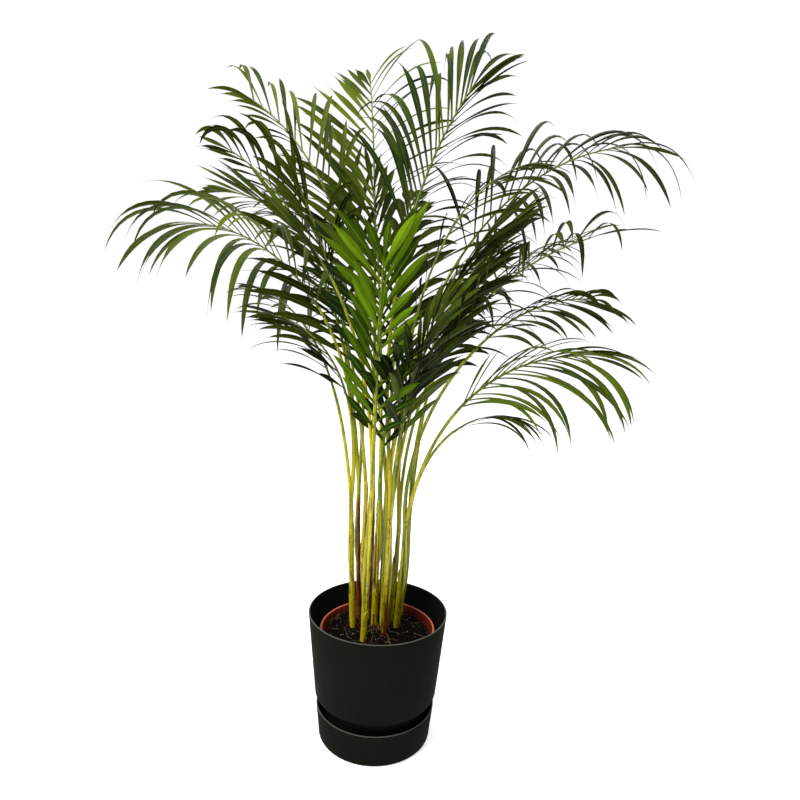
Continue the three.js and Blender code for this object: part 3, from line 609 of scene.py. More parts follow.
@dataclass
class Planter:
    """The charcoal planter: a tapered body on a narrower foot, and the deep saucer under it."""

    height: float
    rim_radius: float
    saucer_height: float
    saucer_rim_radius: float
    wall: float = 2.6 * MM
    taper: float = 0.0952
    body_bottom: float = 80.6 * MM
    foot_top_radius: float = 95 * MM
    foot_bottom_radius: float = 88 * MM
    foot_bottom: float = 3.3 * MM
    floor: float = 3 * MM
    ledge_extra: float = 1 * MM
    # How far down from each rim the painted highlight reaches.
    highlight_reach: float = 0.5 * MM
    saucer_base_radius: float = 101.8 * MM
    steps: int = 144

    @classmethod
    def from_frame(cls) -> "Planter":
        """Takes the sizes that the solids' boxes give."""
        pot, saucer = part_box("outer_pot")[1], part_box("saucer")[1]
        return cls(pot.z, pot.x, saucer.z, saucer.x)

    def outer(self, height: float) -> float:
        """The body's outside radius at a height."""
        return self.rim_radius - (self.height - height) * self.taper

    def foot(self, height: float) -> float:
        """The foot's outside radius at a height."""
        share = (height - self.foot_bottom) / (self.body_bottom - self.foot_bottom)
        return mix(self.foot_bottom_radius, self.foot_top_radius, share)

    def pot(self) -> bpy.types.Object:
        """Makes the planter's pot."""
        ledge = self.body_bottom + self.wall + self.ledge_extra
        inside = self.foot_bottom + self.floor
        blank = Blank("rim")
        blank.turn(
            [
                (0, self.foot_bottom),
                (self.foot_bottom_radius, self.foot_bottom),
                (self.foot(self.body_bottom), self.body_bottom),
                (self.outer(self.body_bottom), self.body_bottom),
                (self.rim_radius, self.height),
                (self.rim_radius - self.wall, self.height),
                (self.outer(ledge) - self.wall, ledge),
                (self.foot(ledge) - self.wall, ledge),
                (self.foot(inside) - self.wall, inside),
                (0, inside),
            ],
            self.steps,
        )
        blank.round_ring(self.rim_radius, self.height, 0.9 * MM)
        blank.round_ring(self.rim_radius - self.wall, self.height, 0.8 * MM)
        blank.round_ring(self.outer(self.body_bottom), self.body_bottom, 4 * MM, 5)
        blank.round_ring(self.foot_bottom_radius, self.foot_bottom, 3 * MM, 4)
        blank.round_ring(self.outer(ledge) - self.wall, ledge, 4 * MM, 4)
        blank.round_ring(self.foot(inside) - self.wall, inside, 3 * MM, 4)
        # Paints the highlight along the rim.
        blank.paint_rim_highlight(self.height, self.highlight_reach)
        return blank.piece("planter_pot", [CHARCOAL], Slot.CHARCOAL, ["outer_pot"])

    def saucer(self) -> bpy.types.Object:
        """Makes the saucer."""
        blank = Blank("rim")
        lower = mix(self.saucer_base_radius, self.saucer_rim_radius, self.floor / self.saucer_height)
        blank.turn(
            [
                (0, 0),
                (self.saucer_base_radius, 0),
                (self.saucer_rim_radius, self.saucer_height),
                (self.saucer_rim_radius - self.wall, self.saucer_height),
                (lower - self.wall, self.floor),
                (0, self.floor),
            ],
            self.steps,
        )
        blank.round_ring(self.saucer_base_radius, 0, 3.5 * MM, 5)
        blank.round_ring(self.saucer_rim_radius, self.saucer_height, 0.9 * MM)
        blank.round_ring(self.saucer_rim_radius - self.wall, self.saucer_height, 0.8 * MM)
        blank.round_ring(lower - self.wall, self.floor, 2.5 * MM, 4)
        # Paints the highlight along the rim.
        blank.paint_rim_highlight(self.saucer_height, self.highlight_reach)
        return blank.piece("planter_saucer", [CHARCOAL], Slot.CHARCOAL, ["saucer"])


@dataclass
class NurseryPot:
    """The thin terracotta-coloured pot that the palm was grown in, with a rolled lip."""

    height: float
    lip_radius: float
    bottom: float
    base_radius: float = 76 * MM
    wall: float = 1.6 * MM
    lip_height: float = 7 * MM
    lip_reach: float = 6 * MM
    lip_top: float = 3.4 * MM
    holes: int = 6
    hole_radius: float = 6 * MM
    hole_circle: float = 52 * MM
    hole_steps: int = 24
    drill_length: float = 10 * MM
    # How far down from the lip the painted highlight reaches.
    highlight_reach: float = 0.6 * MM
    steps: int = 128

    @classmethod
    def from_frame(cls) -> "NurseryPot":
        """Takes the sizes that the solid's box gives."""
        low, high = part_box("nursery_pot")
        return cls(high.z, high.x, low.z)

    def radius(self, height: float) -> float:
        """The wall's outside radius at a height."""
        share = (height - self.bottom) / (self.height - self.lip_height - self.bottom)
        return mix(self.base_radius, self.lip_radius - self.lip_reach, share)

    def drill(self, pot: bpy.types.Object) -> None:
        """Cuts the drain holes through the pot's floor."""
        blank = Blank()
        for i in range(self.holes):
            turn = i / self.holes * math.tau
            spot = (self.hole_circle * math.cos(turn), self.hole_circle * math.sin(turn), self.bottom)
            bmesh.ops.create_cone(
                blank.bm,
                cap_ends=True,
                segments=self.hole_steps,
                radius1=self.hole_radius,
                radius2=self.hole_radius,
                depth=self.drill_length,
                matrix=Matrix.Translation(spot),
            )
        drill = add_object("drill", blank.mesh("drill"))
        cut = pot.modifiers.new("drain_holes", "BOOLEAN")
        cut.operation = "DIFFERENCE"
        cut.solver = "EXACT"
        cut.object = drill
        ready = bpy.context.evaluated_depsgraph_get()
        drilled = bpy.data.meshes.new_from_object(pot.evaluated_get(ready))
        pot.modifiers.clear()
        pot.data = drilled
        bpy.data.objects.remove(drill)

    def build(self) -> bpy.types.Object:
        """Makes the pot."""
        under = self.height - self.lip_height
        inner = self.lip_radius - self.lip_reach - self.wall
        blank = Blank("rim")
        blank.turn(
            [
                (0, self.bottom),
                (self.base_radius, self.bottom),
                (self.radius(under), under),
                (self.lip_radius, under),
                (self.lip_radius, self.height),
                (self.lip_radius - self.lip_top, self.height),
                (inner, under),
                (self.radius(self.bottom + self.wall) - self.wall, self.bottom + self.wall),
                (0, self.bottom + self.wall),
            ],
            self.steps,
        )
        blank.round_ring(self.lip_radius, self.height, 1.2 * MM, 4)
        blank.round_ring(self.lip_radius - self.lip_top, self.height, 1.2 * MM, 4)
        blank.round_ring(self.lip_radius, under, 1.0 * MM)
        blank.round_ring(self.base_radius, self.bottom, 1.5 * MM)
        # Paints the highlight along the lip.
        blank.paint_rim_highlight(self.height, self.highlight_reach)
        pot = blank.piece("nursery_pot_shell", [TERRACOTTA], Slot.TERRACOTTA, ["nursery_pot"])
        self.drill(pot)
        return pot


@dataclass(frozen=True)
class Crumbs:
    """One kind of small lumps on the soil, and the smallest and largest radius that they have."""

    name: str
    finish: Finish
    count: int
    smallest: float
    largest: float


CRUMBS = (
    Crumbs("bark_crumbs", BARK, 620, 0.9 * MM, 3.0 * MM),
    Crumbs("peat_crumbs", PEAT, 700, 0.8 * MM, 2.4 * MM),
    Crumbs("perlite_grains", GRIT, 120, 0.4 * MM, 1.05 * MM),
)


@dataclass
class SoilBed:
    """The potting mix: peat with crumbs of bark, white grit, and threads of root on top."""

    top: float = 188 * MM
    bottom: float = 8.6 * MM
    top_radius: float = 94.6 * MM
    bottom_radius: float = 74.0 * MM
    lumps: float = 2.2 * MM
    swell: float = 1.2 * MM
    # How often the lumps come in a metre, where their noise is read, and their share of the height.
    noises: tuple[tuple[float, float, float], ...] = ((26, 1.7, 0.55), (110, 4.1, 0.35), (330, 9.3, 0.25))
    covered: float = 0.97
    rings: int = 30
    steps: int = 120
    seed: int = 7

    def height(self, x: float, y: float) -> float:
        """The soil's height at a place."""
        lumps = sum(part * noise.noise(Vector((x * rate, y * rate, at))) for rate, at, part in self.noises)
        middle = 1 - (math.hypot(x, y) / self.top_radius) ** 2
        return self.top + self.lumps * lumps + self.swell * middle

    def bed(self) -> bpy.types.Object:
        """Makes the bed itself."""
        rows = [self.top_radius * (1 - i / self.rings) for i in range(self.rings)]
        blank = Blank()
        blank.turn(
            [(0, self.bottom), (self.bottom_radius, self.bottom)]
            + [(radius, self.top) for radius in rows]
            + [(0, self.top)],
            self.steps,
        )
        for vert in blank.bm.verts:
            if vert.co.z > self.top - MM:
                vert.co.z = self.height(vert.co.x, vert.co.y)
        return blank.piece("soil_bed", [PEAT], Slot.SOIL, ["soil"], crease=70)

    def spots(self, draw: random.Random, count: int) -> Iterable[tuple[float, float]]:
        """Gives the x and y of even random places on the soil."""
        for _ in range(count):
            radius = self.top_radius * self.covered * math.sqrt(draw.random())
            turn = draw.random() * math.tau
            yield radius * math.cos(turn), radius * math.sin(turn)

    def crumbs(self, kind: Crumbs, seed: int) -> bpy.types.Object:
        """Scatters small rough lumps over the soil.

        Args:
            kind: What they are.
            seed: Where the random draws start.

        Returns:
            All the lumps as one piece.
        """
        draw = random.Random(self.seed + seed)
        blank = Blank()
        for x, y in self.spots(draw, kind.count):
            radius = mix(kind.smallest, kind.largest, draw.random() ** 2)
            turn = Euler([draw.uniform(0, math.tau) for _ in range(3)]).to_matrix().to_4x4()
            squash = Matrix.Diagonal((1, draw.uniform(0.55, 1), draw.uniform(0.5, 0.9), 1))
            place = Matrix.Translation((x, y, self.height(x, y) + radius * 0.25))
            made = bmesh.ops.create_icosphere(
                blank.bm, subdivisions=1, radius=radius, matrix=place @ turn @ squash
            )
            for vert in made["verts"]:
                vert.co += Vector([draw.uniform(-0.18, 0.18) * radius for _ in range(3)])
        return blank.piece(kind.name, [kind.finish], Slot.SOIL, crease=20)

    def fibres(self, feet: list[Vector], count: int = 96) -> bpy.types.Object:
        """Lays thin dry threads on the soil, most of them near the canes.

        Args:
            feet: Where the canes meet the soil.
            count: How many threads there are.

        Returns:
            All the threads as one piece.
        """
        draw = random.Random(self.seed + 40)
        blank = Blank()
        near, far, steps = 13 * MM, 32 * MM, 8
        for i in range(count):
            foot = feet[i % len(feet)]
            spread = near if i % 3 else far
            x = foot.x + draw.gauss(0, spread)
            y = foot.y + draw.gauss(0, spread) - 6 * MM
            turn = draw.uniform(0, math.tau)
            length = draw.uniform(12, 44) * MM
            bend = draw.uniform(-1.6, 1.6)
            lift = draw.choice((0.4, 0.8, 1.5, 7.0)) * MM
            points = []
            for step in range(steps + 1):
                share = step / steps
                heading = turn + bend * share
                x += math.cos(heading) * length / steps
                y += math.sin(heading) * length / steps
                reach = math.hypot(x, y) / (self.top_radius * self.covered)
                x, y = x / max(1.0, reach), y / max(1.0, reach)
                rise = lift * math.sin(math.pi * share) + 0.5 * MM
                points.append(Vector((x, y, self.height(x, y) + rise)))
            radius = draw.uniform(0.22, 0.45) * MM
            line = Line.through(points, Vector((0, 0, 1)))
            blank.tube(line, lambda t, a, b: (a * radius * (1.1 - t), b * radius * (1.1 - t)), 4, steps)
        return blank.piece("root_fibres", [FIBRE], Slot.SOIL, crease=60)

    def build(self, feet: list[Vector]) -> None:
        """Makes the bed and everything that lies on it.

        Args:
            feet: Where the canes meet the soil.
        """
        self.bed()
        for seed, kind in enumerate(CRUMBS, 1):
            self.crumbs(kind, seed)
        self.fibres(feet)


@dataclass(frozen=True)
class Cane:
    """One cane, from its foot in the soil to the neck where its leaf stalks part.

    dry is how much of it is wrapped in dead brown sheath, and ripe how yellow it has turned.
    """

    foot: tuple[float, float, float]
    neck: tuple[float, float, float]
    ripe: float = 0.6
    dry: float = 0.15
    foot_radius: float = 6.6 * MM
    beyond: float = 26 * MM

    def start(self) -> Vector:
        """The foot's middle, in metres."""
        return Vector(self.foot) * MM

    def parting(self) -> Vector:
        """The neck's middle, in metres."""
        return Vector(self.neck) * MM

    def line(self) -> Line:
        """The cane's middle line."""
        foot, neck = self.start(), self.parting()
        end = neck + (neck - foot).normalized() * self.beyond
        return Line.through([foot.lerp(end, i / 24) for i in range(25)])

    def at_height(self, height: float) -> Vector:
        """The middle of the cane at a height."""
        foot, neck = self.start(), self.parting()
        return foot.lerp(neck, (height - foot.z) / (neck.z - foot.z))


CANES = (
    Cane((-45, 20, 128), (-56, 15, 430), ripe=0.75, dry=0.2),
    Cane((-36, 51, 128), (-46, 60, 445), ripe=0.45, dry=1.0),
    Cane((-25, -28, 128), (-17, -40, 465), ripe=0.85, dry=0.0),
    Cane((-24, 27, 128), (-30, 20, 450), ripe=0.7, dry=0.35),
    Cane((-14, 44, 128), (-20, 55, 480), ripe=0.5, dry=0.85),
    Cane((-8, 20, 128), (-5, 18, 470), ripe=0.75, dry=0.2),
    Cane((8, 17, 128), (12, 12, 490), ripe=0.7, dry=0.15),
    Cane((11, -6, 128), (16, -20, 410), ripe=0.7, dry=0.3),
    Cane((18, 37, 128), (32, 34, 385), ripe=0.5, dry=0.3),
    Cane((32, 23, 128), (43, 13, 390), ripe=0.6, dry=0.1),
    Cane((2, 62, 128), (6, 78, 440), ripe=0.5, dry=0.5),
    Cane((36, 54, 128), (52, 66, 405), ripe=0.4, dry=0.3),
)


@dataclass(frozen=True)
class Rank:
    """The leaflets on one side of a rib.

    leaf is the longest of them in millimetres. opening and closing are their angles to the rib at
    its foot and its tip, vee lifts them out of the frond's plane, sag bows them down, tip is the
    share of leaf left at the rib's end, and edge is how far the lower ones turn edge-on.
    """

    leaf: float
    opening: float = 44
    closing: float = 10
    vee: float = 28
    sag: float = 1.3
    tip: float = 0.54
    edge: float = 0


@dataclass(frozen=True)
class Frond:
    """One frond: its stalk, its rib and the leaflets on it. Lengths are in millimetres.

    azimuth is its heading in degrees from +X. The rib leaves its cane at the angle lean from
    upright and ends at droop; bend sets how late it bows, and bare is the share of the length with
    no leaflets. pairs counts the leaflets on each side; where left is not given, it is like right.
    roll turns the blade about its rib, width is a leaflet's full width, and light makes the frond
    lighter or darker than its green.
    """

    cane: int
    azimuth: float
    length: float
    lean: float
    droop: float
    bend: float
    bare: float
    pairs: int
    green: Slot
    right: Rank
    left: Rank | None = None
    roll: float = 0
    width: float = 9.5
    light: float = 0

    def rank(self, side: int) -> Rank:
        """The leaflets on one side, 1 for the right and -1 for the left."""
        return self.right if side > 0 or self.left is None else self.left

    def heading(self, share: float) -> Vector:
        """The rib's direction at a share of its length."""
        angle = math.radians(mix(self.lean, self.droop, share**self.bend))
        turn = math.radians(self.azimuth)
        out = math.sin(angle)
        return Vector((out * math.cos(turn), out * math.sin(turn), math.cos(angle)))

    def axes(self, share: float) -> tuple[Vector, Vector, Vector]:
        """The rib's own directions at a share of its length.

        Args:
            share: From 0 at the cane to 1 at the rib's end.

        Returns:
            Along the rib, across it, and up out of its leafy face.
        """
        turn, roll = math.radians(self.azimuth), math.radians(self.roll)
        along = self.heading(share)
        across = Vector((-math.sin(turn), math.cos(turn), 0))
        up = across.cross(along).normalized()
        side = across * math.cos(roll) + up * math.sin(roll)
        face = up * math.cos(roll) - across * math.sin(roll)
        return along, side, face

    def line(self, start: Vector, rows: int = 48) -> Line:
        """The whole line of stalk and rib.

        Args:
            start: Where it leaves its cane.
            rows: How many straight steps it has.

        Returns:
            The line, whose away direction is the leafy face.
        """
        points, across, away = [start.copy()], [], []
        for i in range(rows):
            points.append(points[-1] + self.heading((i + 0.5) / rows) * (self.length * MM / rows))
        for i in range(rows + 1):
            _, side, face = self.axes(i / rows)
            across.append(-side)
            away.append(face)
        return Line(points, across, away)

    def leafy(self, place: float) -> float:
        """The share of the whole length at a place on the leafy stretch."""
        return self.bare + (1 - self.bare) * place

    def leaflet_length(self, side: int, place: float, key: float) -> float:
        """How long a leaflet is, in metres.

        Args:
            side: 1 or -1.
            place: Its place on the leafy stretch.
            key: What its draws hang on.

        Returns:
            Its length.
        """
        rank = self.rank(side)
        if place < 0.4:
            share = 0.7 + 0.3 * math.sin(math.pi / 2 * place / 0.4)
        else:
            share = mix(rank.tip, 1, math.cos(math.pi / 2 * (place - 0.4) / 0.6))
        return rank.leaf * MM * share * (1 + 0.08 * wobble(key, 3))

    def leaflets(self, number: int) -> Iterable[tuple[int, float, float]]:
        """Every leaflet's side, place on the leafy stretch and key.

        Args:
            number: The frond's number, from 0.

        Yields:
            1 or -1 for the side, the place, and the key that its draws hang on.
        """
        for i in range(self.pairs):
            yield 1, (i + 0.25) / self.pairs + 0.012, number * 100 + i * 2 + 1
            yield -1, (i + 0.75) / self.pairs + 0.006, number * 100 + i * 2
        yield 1, 1.0, number * 100 + 99


FRONDS = (
    # tall frond at the top of the crown
    Frond(5, 99, 847, 10, 42, 2, 0.38, 18, Slot.MID,
          Rank(295, opening=48, closing=21, vee=4, sag=0.2, tip=0.3),
          Rank(202, opening=66, closing=36, vee=-24, sag=1.1, tip=0.84, edge=-58), roll=15, width=13),
    # upper left frond that rises over its neighbours
    Frond(2, 156, 794, -3, 58, 1.7, 0.47, 17, Slot.MID,
          Rank(134, opening=49, closing=1, vee=60, sag=0.9, tip=0.92, edge=-65),
          Rank(300, opening=30, closing=33, vee=44, sag=0.5, tip=1.05), roll=66, width=10),
    # left frond below it
    Frond(2, 154, 732, 5, 61, 1.6, 0.39, 15, Slot.DEEP,
          Rank(126, opening=56, closing=9, vee=29, sag=0.3, tip=1.05, edge=-60),
          Rank(223, opening=39, closing=30, vee=-14, sag=3.2, tip=0.45), roll=83, width=10),
    # pale left frond with drooping leaflets
    Frond(3, 148, 689, 2, 82, 1.45, 0.56, 13, Slot.MID,
          Rank(152, opening=51, closing=1, vee=-8, sag=0.3, tip=0.55, edge=45),
          Rank(260, opening=49, closing=0, vee=9, sag=0.5, tip=0.38, edge=-50), roll=-24, width=9.5),
    # widest left frond, arching level
    Frond(1, 165, 637, -4, 84, 1.43, 0.56, 15, Slot.MID,
          Rank(200, opening=75, closing=30, vee=-32, sag=1.8, tip=1.05),
          Rank(300, opening=75, closing=0, vee=3, sag=1.2, tip=0.73), roll=-11, width=12.5),
    # sparse low left frond
    Frond(1, 212, 390, -2, 78, 2, 0.5, 6, Slot.DEEP, Rank(130, sag=0.8), roll=20, width=9),
    # young bright frond facing the viewer
    Frond(3, 280, 385, 2, 18, 2, 0.78, 5, Slot.YOUNG,
          Rank(150, opening=32, closing=20, vee=8, sag=0.3, tip=0.5),
          Rank(145, opening=44, closing=28, vee=8, sag=0.5, tip=0.5), width=14.5,
          light=0.45),
    # broad upper right frond
    Frond(7, 37, 716, -8, 37, 1.2, 0.56, 18, Slot.MID,
          Rank(300, opening=26, closing=22, vee=12, sag=1.3, tip=0.68),
          Rank(300, opening=53, closing=7, vee=53, sag=0.5, tip=0.57, edge=70), roll=-58, width=11.5,
          light=-0.35),
    # widest right frond
    Frond(9, 18, 900, -4, 78, 1.4, 0.56, 17, Slot.DEEP,
          Rank(250, opening=75, closing=19, vee=-51, sag=0.8, tip=0.95),
          Rank(300, opening=41, closing=12, vee=-60, sag=1.2, tip=0.84), roll=69, width=8.5),
    # right frond, second tier
    Frond(9, -19, 635, 1, 73, 1.44, 0.56, 14, Slot.DEEP,
          Rank(125, opening=41, closing=47, vee=-14, sag=0.8, tip=1.05),
          Rank(190, opening=75, closing=55, vee=-37, sag=3.2, tip=0.69), roll=-5, width=8.5),
    # right frond, third tier
    Frond(10, 32, 686, -8, 90, 0.82, 0.55, 14, Slot.DEEP,
          Rank(135, opening=15, closing=23, vee=-11, sag=1.7, tip=0.9, edge=60),
          Rank(300, opening=41, closing=11, vee=51, sag=0.3, tip=0.62), roll=-85, width=8.5),
    # low bright right frond
    Frond(10, -36, 472, 12, 86, 1.43, 0.52, 14, Slot.MID,
          Rank(220, opening=30, closing=14, vee=20, sag=2.1, tip=0.62),
          Rank(152, opening=16, closing=10, vee=1, sag=1.4, tip=0.9, edge=60), roll=62, width=7.5),
    # small low frond beside it
    Frond(12, -39, 245, 13, 67, 1.3, 0.76, 3, Slot.DEEP,
          Rank(180, opening=30, closing=14, vee=16, sag=2.2, tip=0.8),
          Rank(180, opening=12, closing=4, vee=5, sag=1.8, tip=0.92), roll=-4, width=7.5),
    # long right frond behind the broad one
    Frond(7, 24, 650, 6, 72, 2.5, 0.39, 13, Slot.DEEP, Rank(185, sag=1.2), Rank(185, sag=1.4, edge=-35),
          roll=-20, width=10, light=0.1),
    # dark upright frond right of the middle
    Frond(8, -35, 520, 1, 38, 1.1, 0.36, 18, Slot.DEEP, Rank(170, opening=34, sag=0.8), width=11.5,
          light=0.25),
    # thin frond with hanging leaflets
    Frond(12, 28, 640, 0, 70, 1.3, 0.42, 12, Slot.DEEP, Rank(180, sag=1.6, edge=45),
          Rank(180, sag=1.8, edge=-40), width=8.5, light=0.15),
    # small dark frond low in the middle
    Frond(6, 287, 255, 8, 50, 1.3, 0.22, 8, Slot.DEEP,
          Rank(115, opening=36, closing=18, vee=8, sag=0.9, tip=0.8), width=15),
    # upright frond inside the crown
    Frond(6, 118, 520, 2, 16, 1.4, 0.36, 13, Slot.MID, Rank(200, opening=46, closing=25, sag=0.6),
          width=15.5, light=0.1),
    # upright left frond
    Frond(4, 150, 560, 6, 30, 1.2, 0.4, 13, Slot.DEEP, Rank(200, sag=0.8), width=13, light=0.3),
    # back frond
    Frond(11, 84, 640, 6, 52, 1.8, 0.4, 13, Slot.DEEP, Rank(200, opening=40, sag=0.8, edge=12),
          Rank(200, opening=40, sag=0.8, edge=-12), width=15, light=0.15),
    # back left frond
    Frond(2, 133, 640, 8, 60, 2, 0.42, 13, Slot.DEEP, Rank(190, edge=30), Rank(190), width=11),
    # back right frond
    Frond(11, 50, 600, 12, 70, 1.8, 0.42, 13, Slot.DEEP, Rank(180), Rank(180), width=12),
    # front left frond
    Frond(3, 277, 300, 8, 20, 1.5, 0.32, 10, Slot.YOUNG,
          Rank(95, opening=52, closing=32, vee=14, sag=0.4, tip=0.9),
          Rank(115, opening=37, closing=24, vee=14, sag=0.3, tip=0.9), width=12.5, light=0.2),
    # front right frond with curling leaflets
    Frond(8, 305, 400, 4, 40, 1.6, 0.36, 12, Slot.MID, Rank(135, opening=34, closing=14, vee=14, sag=1),
          width=12.5, light=0.2),
    # low back right frond
    Frond(12, 70, 560, 14, 80, 1.6, 0.44, 12, Slot.DEEP, Rank(170), width=12.5),
    # low back left frond
    Frond(1, 150, 470, 8, 76, 1.9, 0.44, 10, Slot.DEEP, Rank(140, edge=45), Rank(140), width=8.5,
          light=0.3),
    # low back frond
    Frond(11, 118, 560, 14, 78, 1.7, 0.44, 12, Slot.DEEP, Rank(170, edge=20), Rank(170), width=12),
    # inner front right frond
    Frond(8, -8, 560, 6, 42, 1.6, 0.42, 15, Slot.DEEP, Rank(170, opening=34, sag=0.9, tip=0.36),
          width=8.5, light=0.15),
)


@dataclass
class CaneBody:
    """One cane in the making: its core, its sheath, the old leaf bases on it and its leaf stalks.

    number is the cane's number, from 0, which its draws hang on. Places on a cane, and widths along
    it, are shares of its length from foot to neck. foot_wrap is what the old leaf bases take of the
    foot's radius.
    """

    number: int
    cane: Cane
    blank: Blank
    core: float = 3.3 * MM
    foot_wrap: float = 2.6 * MM
    scar_spacing: float = 0.085
    scar_width: float = 0.006
    scar_height: float = 0.5 * MM
    last_scar: float = 0.5
    strands: int = 8
    strand_radius: float = 1.75 * MM
    sheath_gap: float = 1.6 * MM
    sheath_mouth: float = 0.86
    sheath_slant: float = 1.6
    stalk_root: float = 2.0 * MM
    stalk_base: float = 4.2 * MM
    stalk_tip: float = 2.7 * MM

    def thickness(self, share: float) -> float:
        """The core's radius at a place on the cane."""
        return mix(self.cane.foot_radius - self.foot_wrap, self.core, ease((share - 0.05) / 0.5))

    def stem(self) -> None:
        """Makes the core, ringed with the scars of old leaves."""
        number, cane = self.number, self.cane
        scars = [0.07 + 0.02 * wobble(number, 1)]
        while scars[-1] < self.last_scar:
            scars.append(scars[-1] + self.scar_spacing + 0.03 * wobble(number, len(scars) + 3))

        def scar(share: float) -> float:
            """How much of a scar there is at a place."""
            return max(math.exp(-(((share - at) / self.scar_width) ** 2)) for at in scars)

        def shape(share: float, x: float, y: float) -> tuple[float, float]:
            """Where a corner goes: a ridged, rough round that narrows at the neck."""
            size = self.thickness(share) * (1 - 0.7 * ease((share - 0.86) / 0.14))
            ridge = 0.05 * math.sin(5 * math.atan2(y, x) + 7 * share + number)
            rough = 0.1 * noise.noise(Vector((x * 1.3 + number * 5, y * 1.3, share * 26)))
            size = size * (1 + ridge + rough) + self.scar_height * scar(share)
            return x * size, y * size

        def marks(share: float, x: float, y: float) -> dict[str, float]:
            """How ripe and how dead the skin is at a corner."""
            patch = 0.5 + 0.5 * noise.noise(Vector((x + number * 7, y, share * 9)))
            dead = cane.dry * ease((patch + cane.dry * 0.55 - 0.45) / 0.2)
            return {"ripe": cane.ripe * (1 + 0.3 * (1 - share)), "dry": min(1.0, dead + 0.6 * scar(share))}

        self.blank.tube(cane.line(), shape, 24, 90, marks)

    def sleeve(self) -> None:
        """Wraps the lower half of the cane in a sheath, whose mouth is cut on a slant."""
        number, cane = self.number, self.cane
        low = 0.19 + 0.05 * wobble(number, 11)
        high = low + 0.2 + 0.09 * wobble(number, 12)
        line = cane.line().part(low, high, 20)
        turn = math.pi * wobble(number, 13)
        brown = 0.95 if wobble(number, 14) < 2 * cane.dry - 1.0 else 0.0

        def shape(share: float, x: float, y: float) -> tuple[float, float]:
            """Where a corner goes: off the core, and further at the mouth's high side."""
            swell = self.thickness(mix(low, high, share)) + self.sheath_gap
            facing = x * math.cos(turn) + y * math.sin(turn)
            size = swell + (0.3 + 0.25 * share) * MM + 0.5 * MM * share**3 * (1 + facing)
            size *= 1 + 0.07 * noise.noise(Vector((x * 1.5 + number * 3, y * 1.5, share * 7)))
            return x * size, y * size

        def marks(share: float, x: float, y: float) -> dict[str, float]:
            """How ripe and how dead the sheath is at a corner."""
            return {"ripe": cane.ripe * 1.1, "dry": max(brown, ease((share - 0.8) / 0.15) * 0.7)}

        before = set(self.blank.bm.verts)
        self.blank.tube(line, shape, 18, 24, marks)
        fresh = [v for v in self.blank.bm.verts if v not in before]
        middle, across, away = line.at(self.sheath_mouth)
        slope = across * math.cos(turn) + away * math.sin(turn)
        upward = (line.points[-1] - line.points[0]).normalized()
        faces = {f for v in fresh for f in v.link_faces}
        edges = {e for v in fresh for e in v.link_edges}
        cut = bmesh.ops.bisect_plane(
            self.blank.bm,
            geom=fresh + list(edges) + list(faces),
            plane_co=middle,
            plane_no=(upward + slope * self.sheath_slant).normalized(),
            clear_outer=True,
        )
        rim = [e for e in cut["geom_cut"] if isinstance(e, bmesh.types.BMEdge)]
        bmesh.ops.edgeloop_fill(self.blank.bm, edges=rim)

    def strand(self, index: int) -> None:
        """Lays one old leaf base along the cane, ending in a torn tip.

        Args:
            index: Which leaf base on the cane this is, from 0.
        """
        key = self.number * 10 + index
        low = mix(0.03, 0.2, 0.5 + 0.5 * wobble(key, 31))
        high = min(0.97, low + 0.62 + 0.3 * wobble(key, 32))
        start = math.tau * (index + 0.25 * wobble(key, 33)) / self.strands
        lay = 0.9 * wobble(self.number, 30) + 0.35 * wobble(key, 36)
        foot, neck = self.cane.start(), self.cane.parting()
        size = self.strand_radius + 0.35 * wobble(key, 37) * MM
        points, across, away = [], [], []
        for i in range(29):
            place = mix(low, high, i / 28)
            out = level(start + lay * place)
            body = self.thickness(place)
            reach = mix(body - 1.2 * MM, body + 0.3 * size, ease(i / 5)) + 0.9 * MM * ease((i - 24) / 4)
            points.append(foot.lerp(neck, place) + out * reach)
            across.append(Vector((-out.y, out.x, 0)))
            away.append(out)
        brown = 1.0 if wobble(key, 34) < 1.5 * self.cane.dry - 0.95 else 0.0

        def shape(share: float, x: float, y: float) -> tuple[float, float]:
            """Where a corner goes: a flat round that closes at the tip."""
            round_off = 1 - 0.8 * ease((share - 0.92) / 0.08)
            rough = 1 + 0.14 * noise.noise(Vector((x, y + key, share * 20)))
            return x * size * 1.15 * round_off * rough, y * size * 0.85 * round_off * rough

        def marks(share: float, x: float, y: float) -> dict[str, float]:
            """How ripe and how dead the leaf base is at a corner."""
            torn = ease((share - 0.88) / 0.1)
            return {"ripe": self.cane.ripe * (1 + 0.95 * wobble(key, 35)), "dry": max(brown, torn * 0.9)}

        self.blank.tube(Line(points, across, away), shape, 8, 40, marks)

    def stalk(self, number: int, frond: Frond) -> None:
        """Makes one frond's stalk: a strand up the side of the cane, which leaves it at the neck as
        the bare stalk, grooved along its leafy face.

        Args:
            number: The frond's number, from 0.
            frond: The frond.
        """
        line = frond.line(self.cane.parting()).part(0, frond.bare, 24)
        low = 0.36 + 0.16 * wobble(number, 21)
        out = level(math.radians(frond.azimuth + 60 * wobble(number, 22)))
        spread = (5.2 + 1.6 * wobble(number, 24)) * MM
        foot, neck = self.cane.start(), self.cane.parting()
        for i in reversed(range(12)):
            share = i / 12
            reach = spread * ease((share + 0.15) / 0.5) * ease((1 - share) / 0.6)
            line.points.insert(0, foot.lerp(neck, mix(low, 1, share)) + out * reach)
            line.across.insert(0, line.across[0])
            line.away.insert(0, line.away[0])
        ripe = self.cane.ripe * (1 + 0.8 * wobble(number, 23))
        # The share of the line, 12 steps of its 36, that lies along the cane.
        hidden = 1 / 3

        def shape(share: float, x: float, y: float) -> tuple[float, float]:
            """Where a corner goes: thickest at the neck, and grooved above it."""
            if share < hidden:
                radius = mix(self.stalk_root, self.stalk_base, ease(share * 3) ** 0.7)
            else:
                radius = mix(self.stalk_base, self.stalk_tip, math.sqrt((share - hidden) * 1.5))
            groove = 0.32 * max(0.0, y) ** 3 * ease((share - hidden) / 0.15)
            return x * radius, y * radius * (1 - groove)

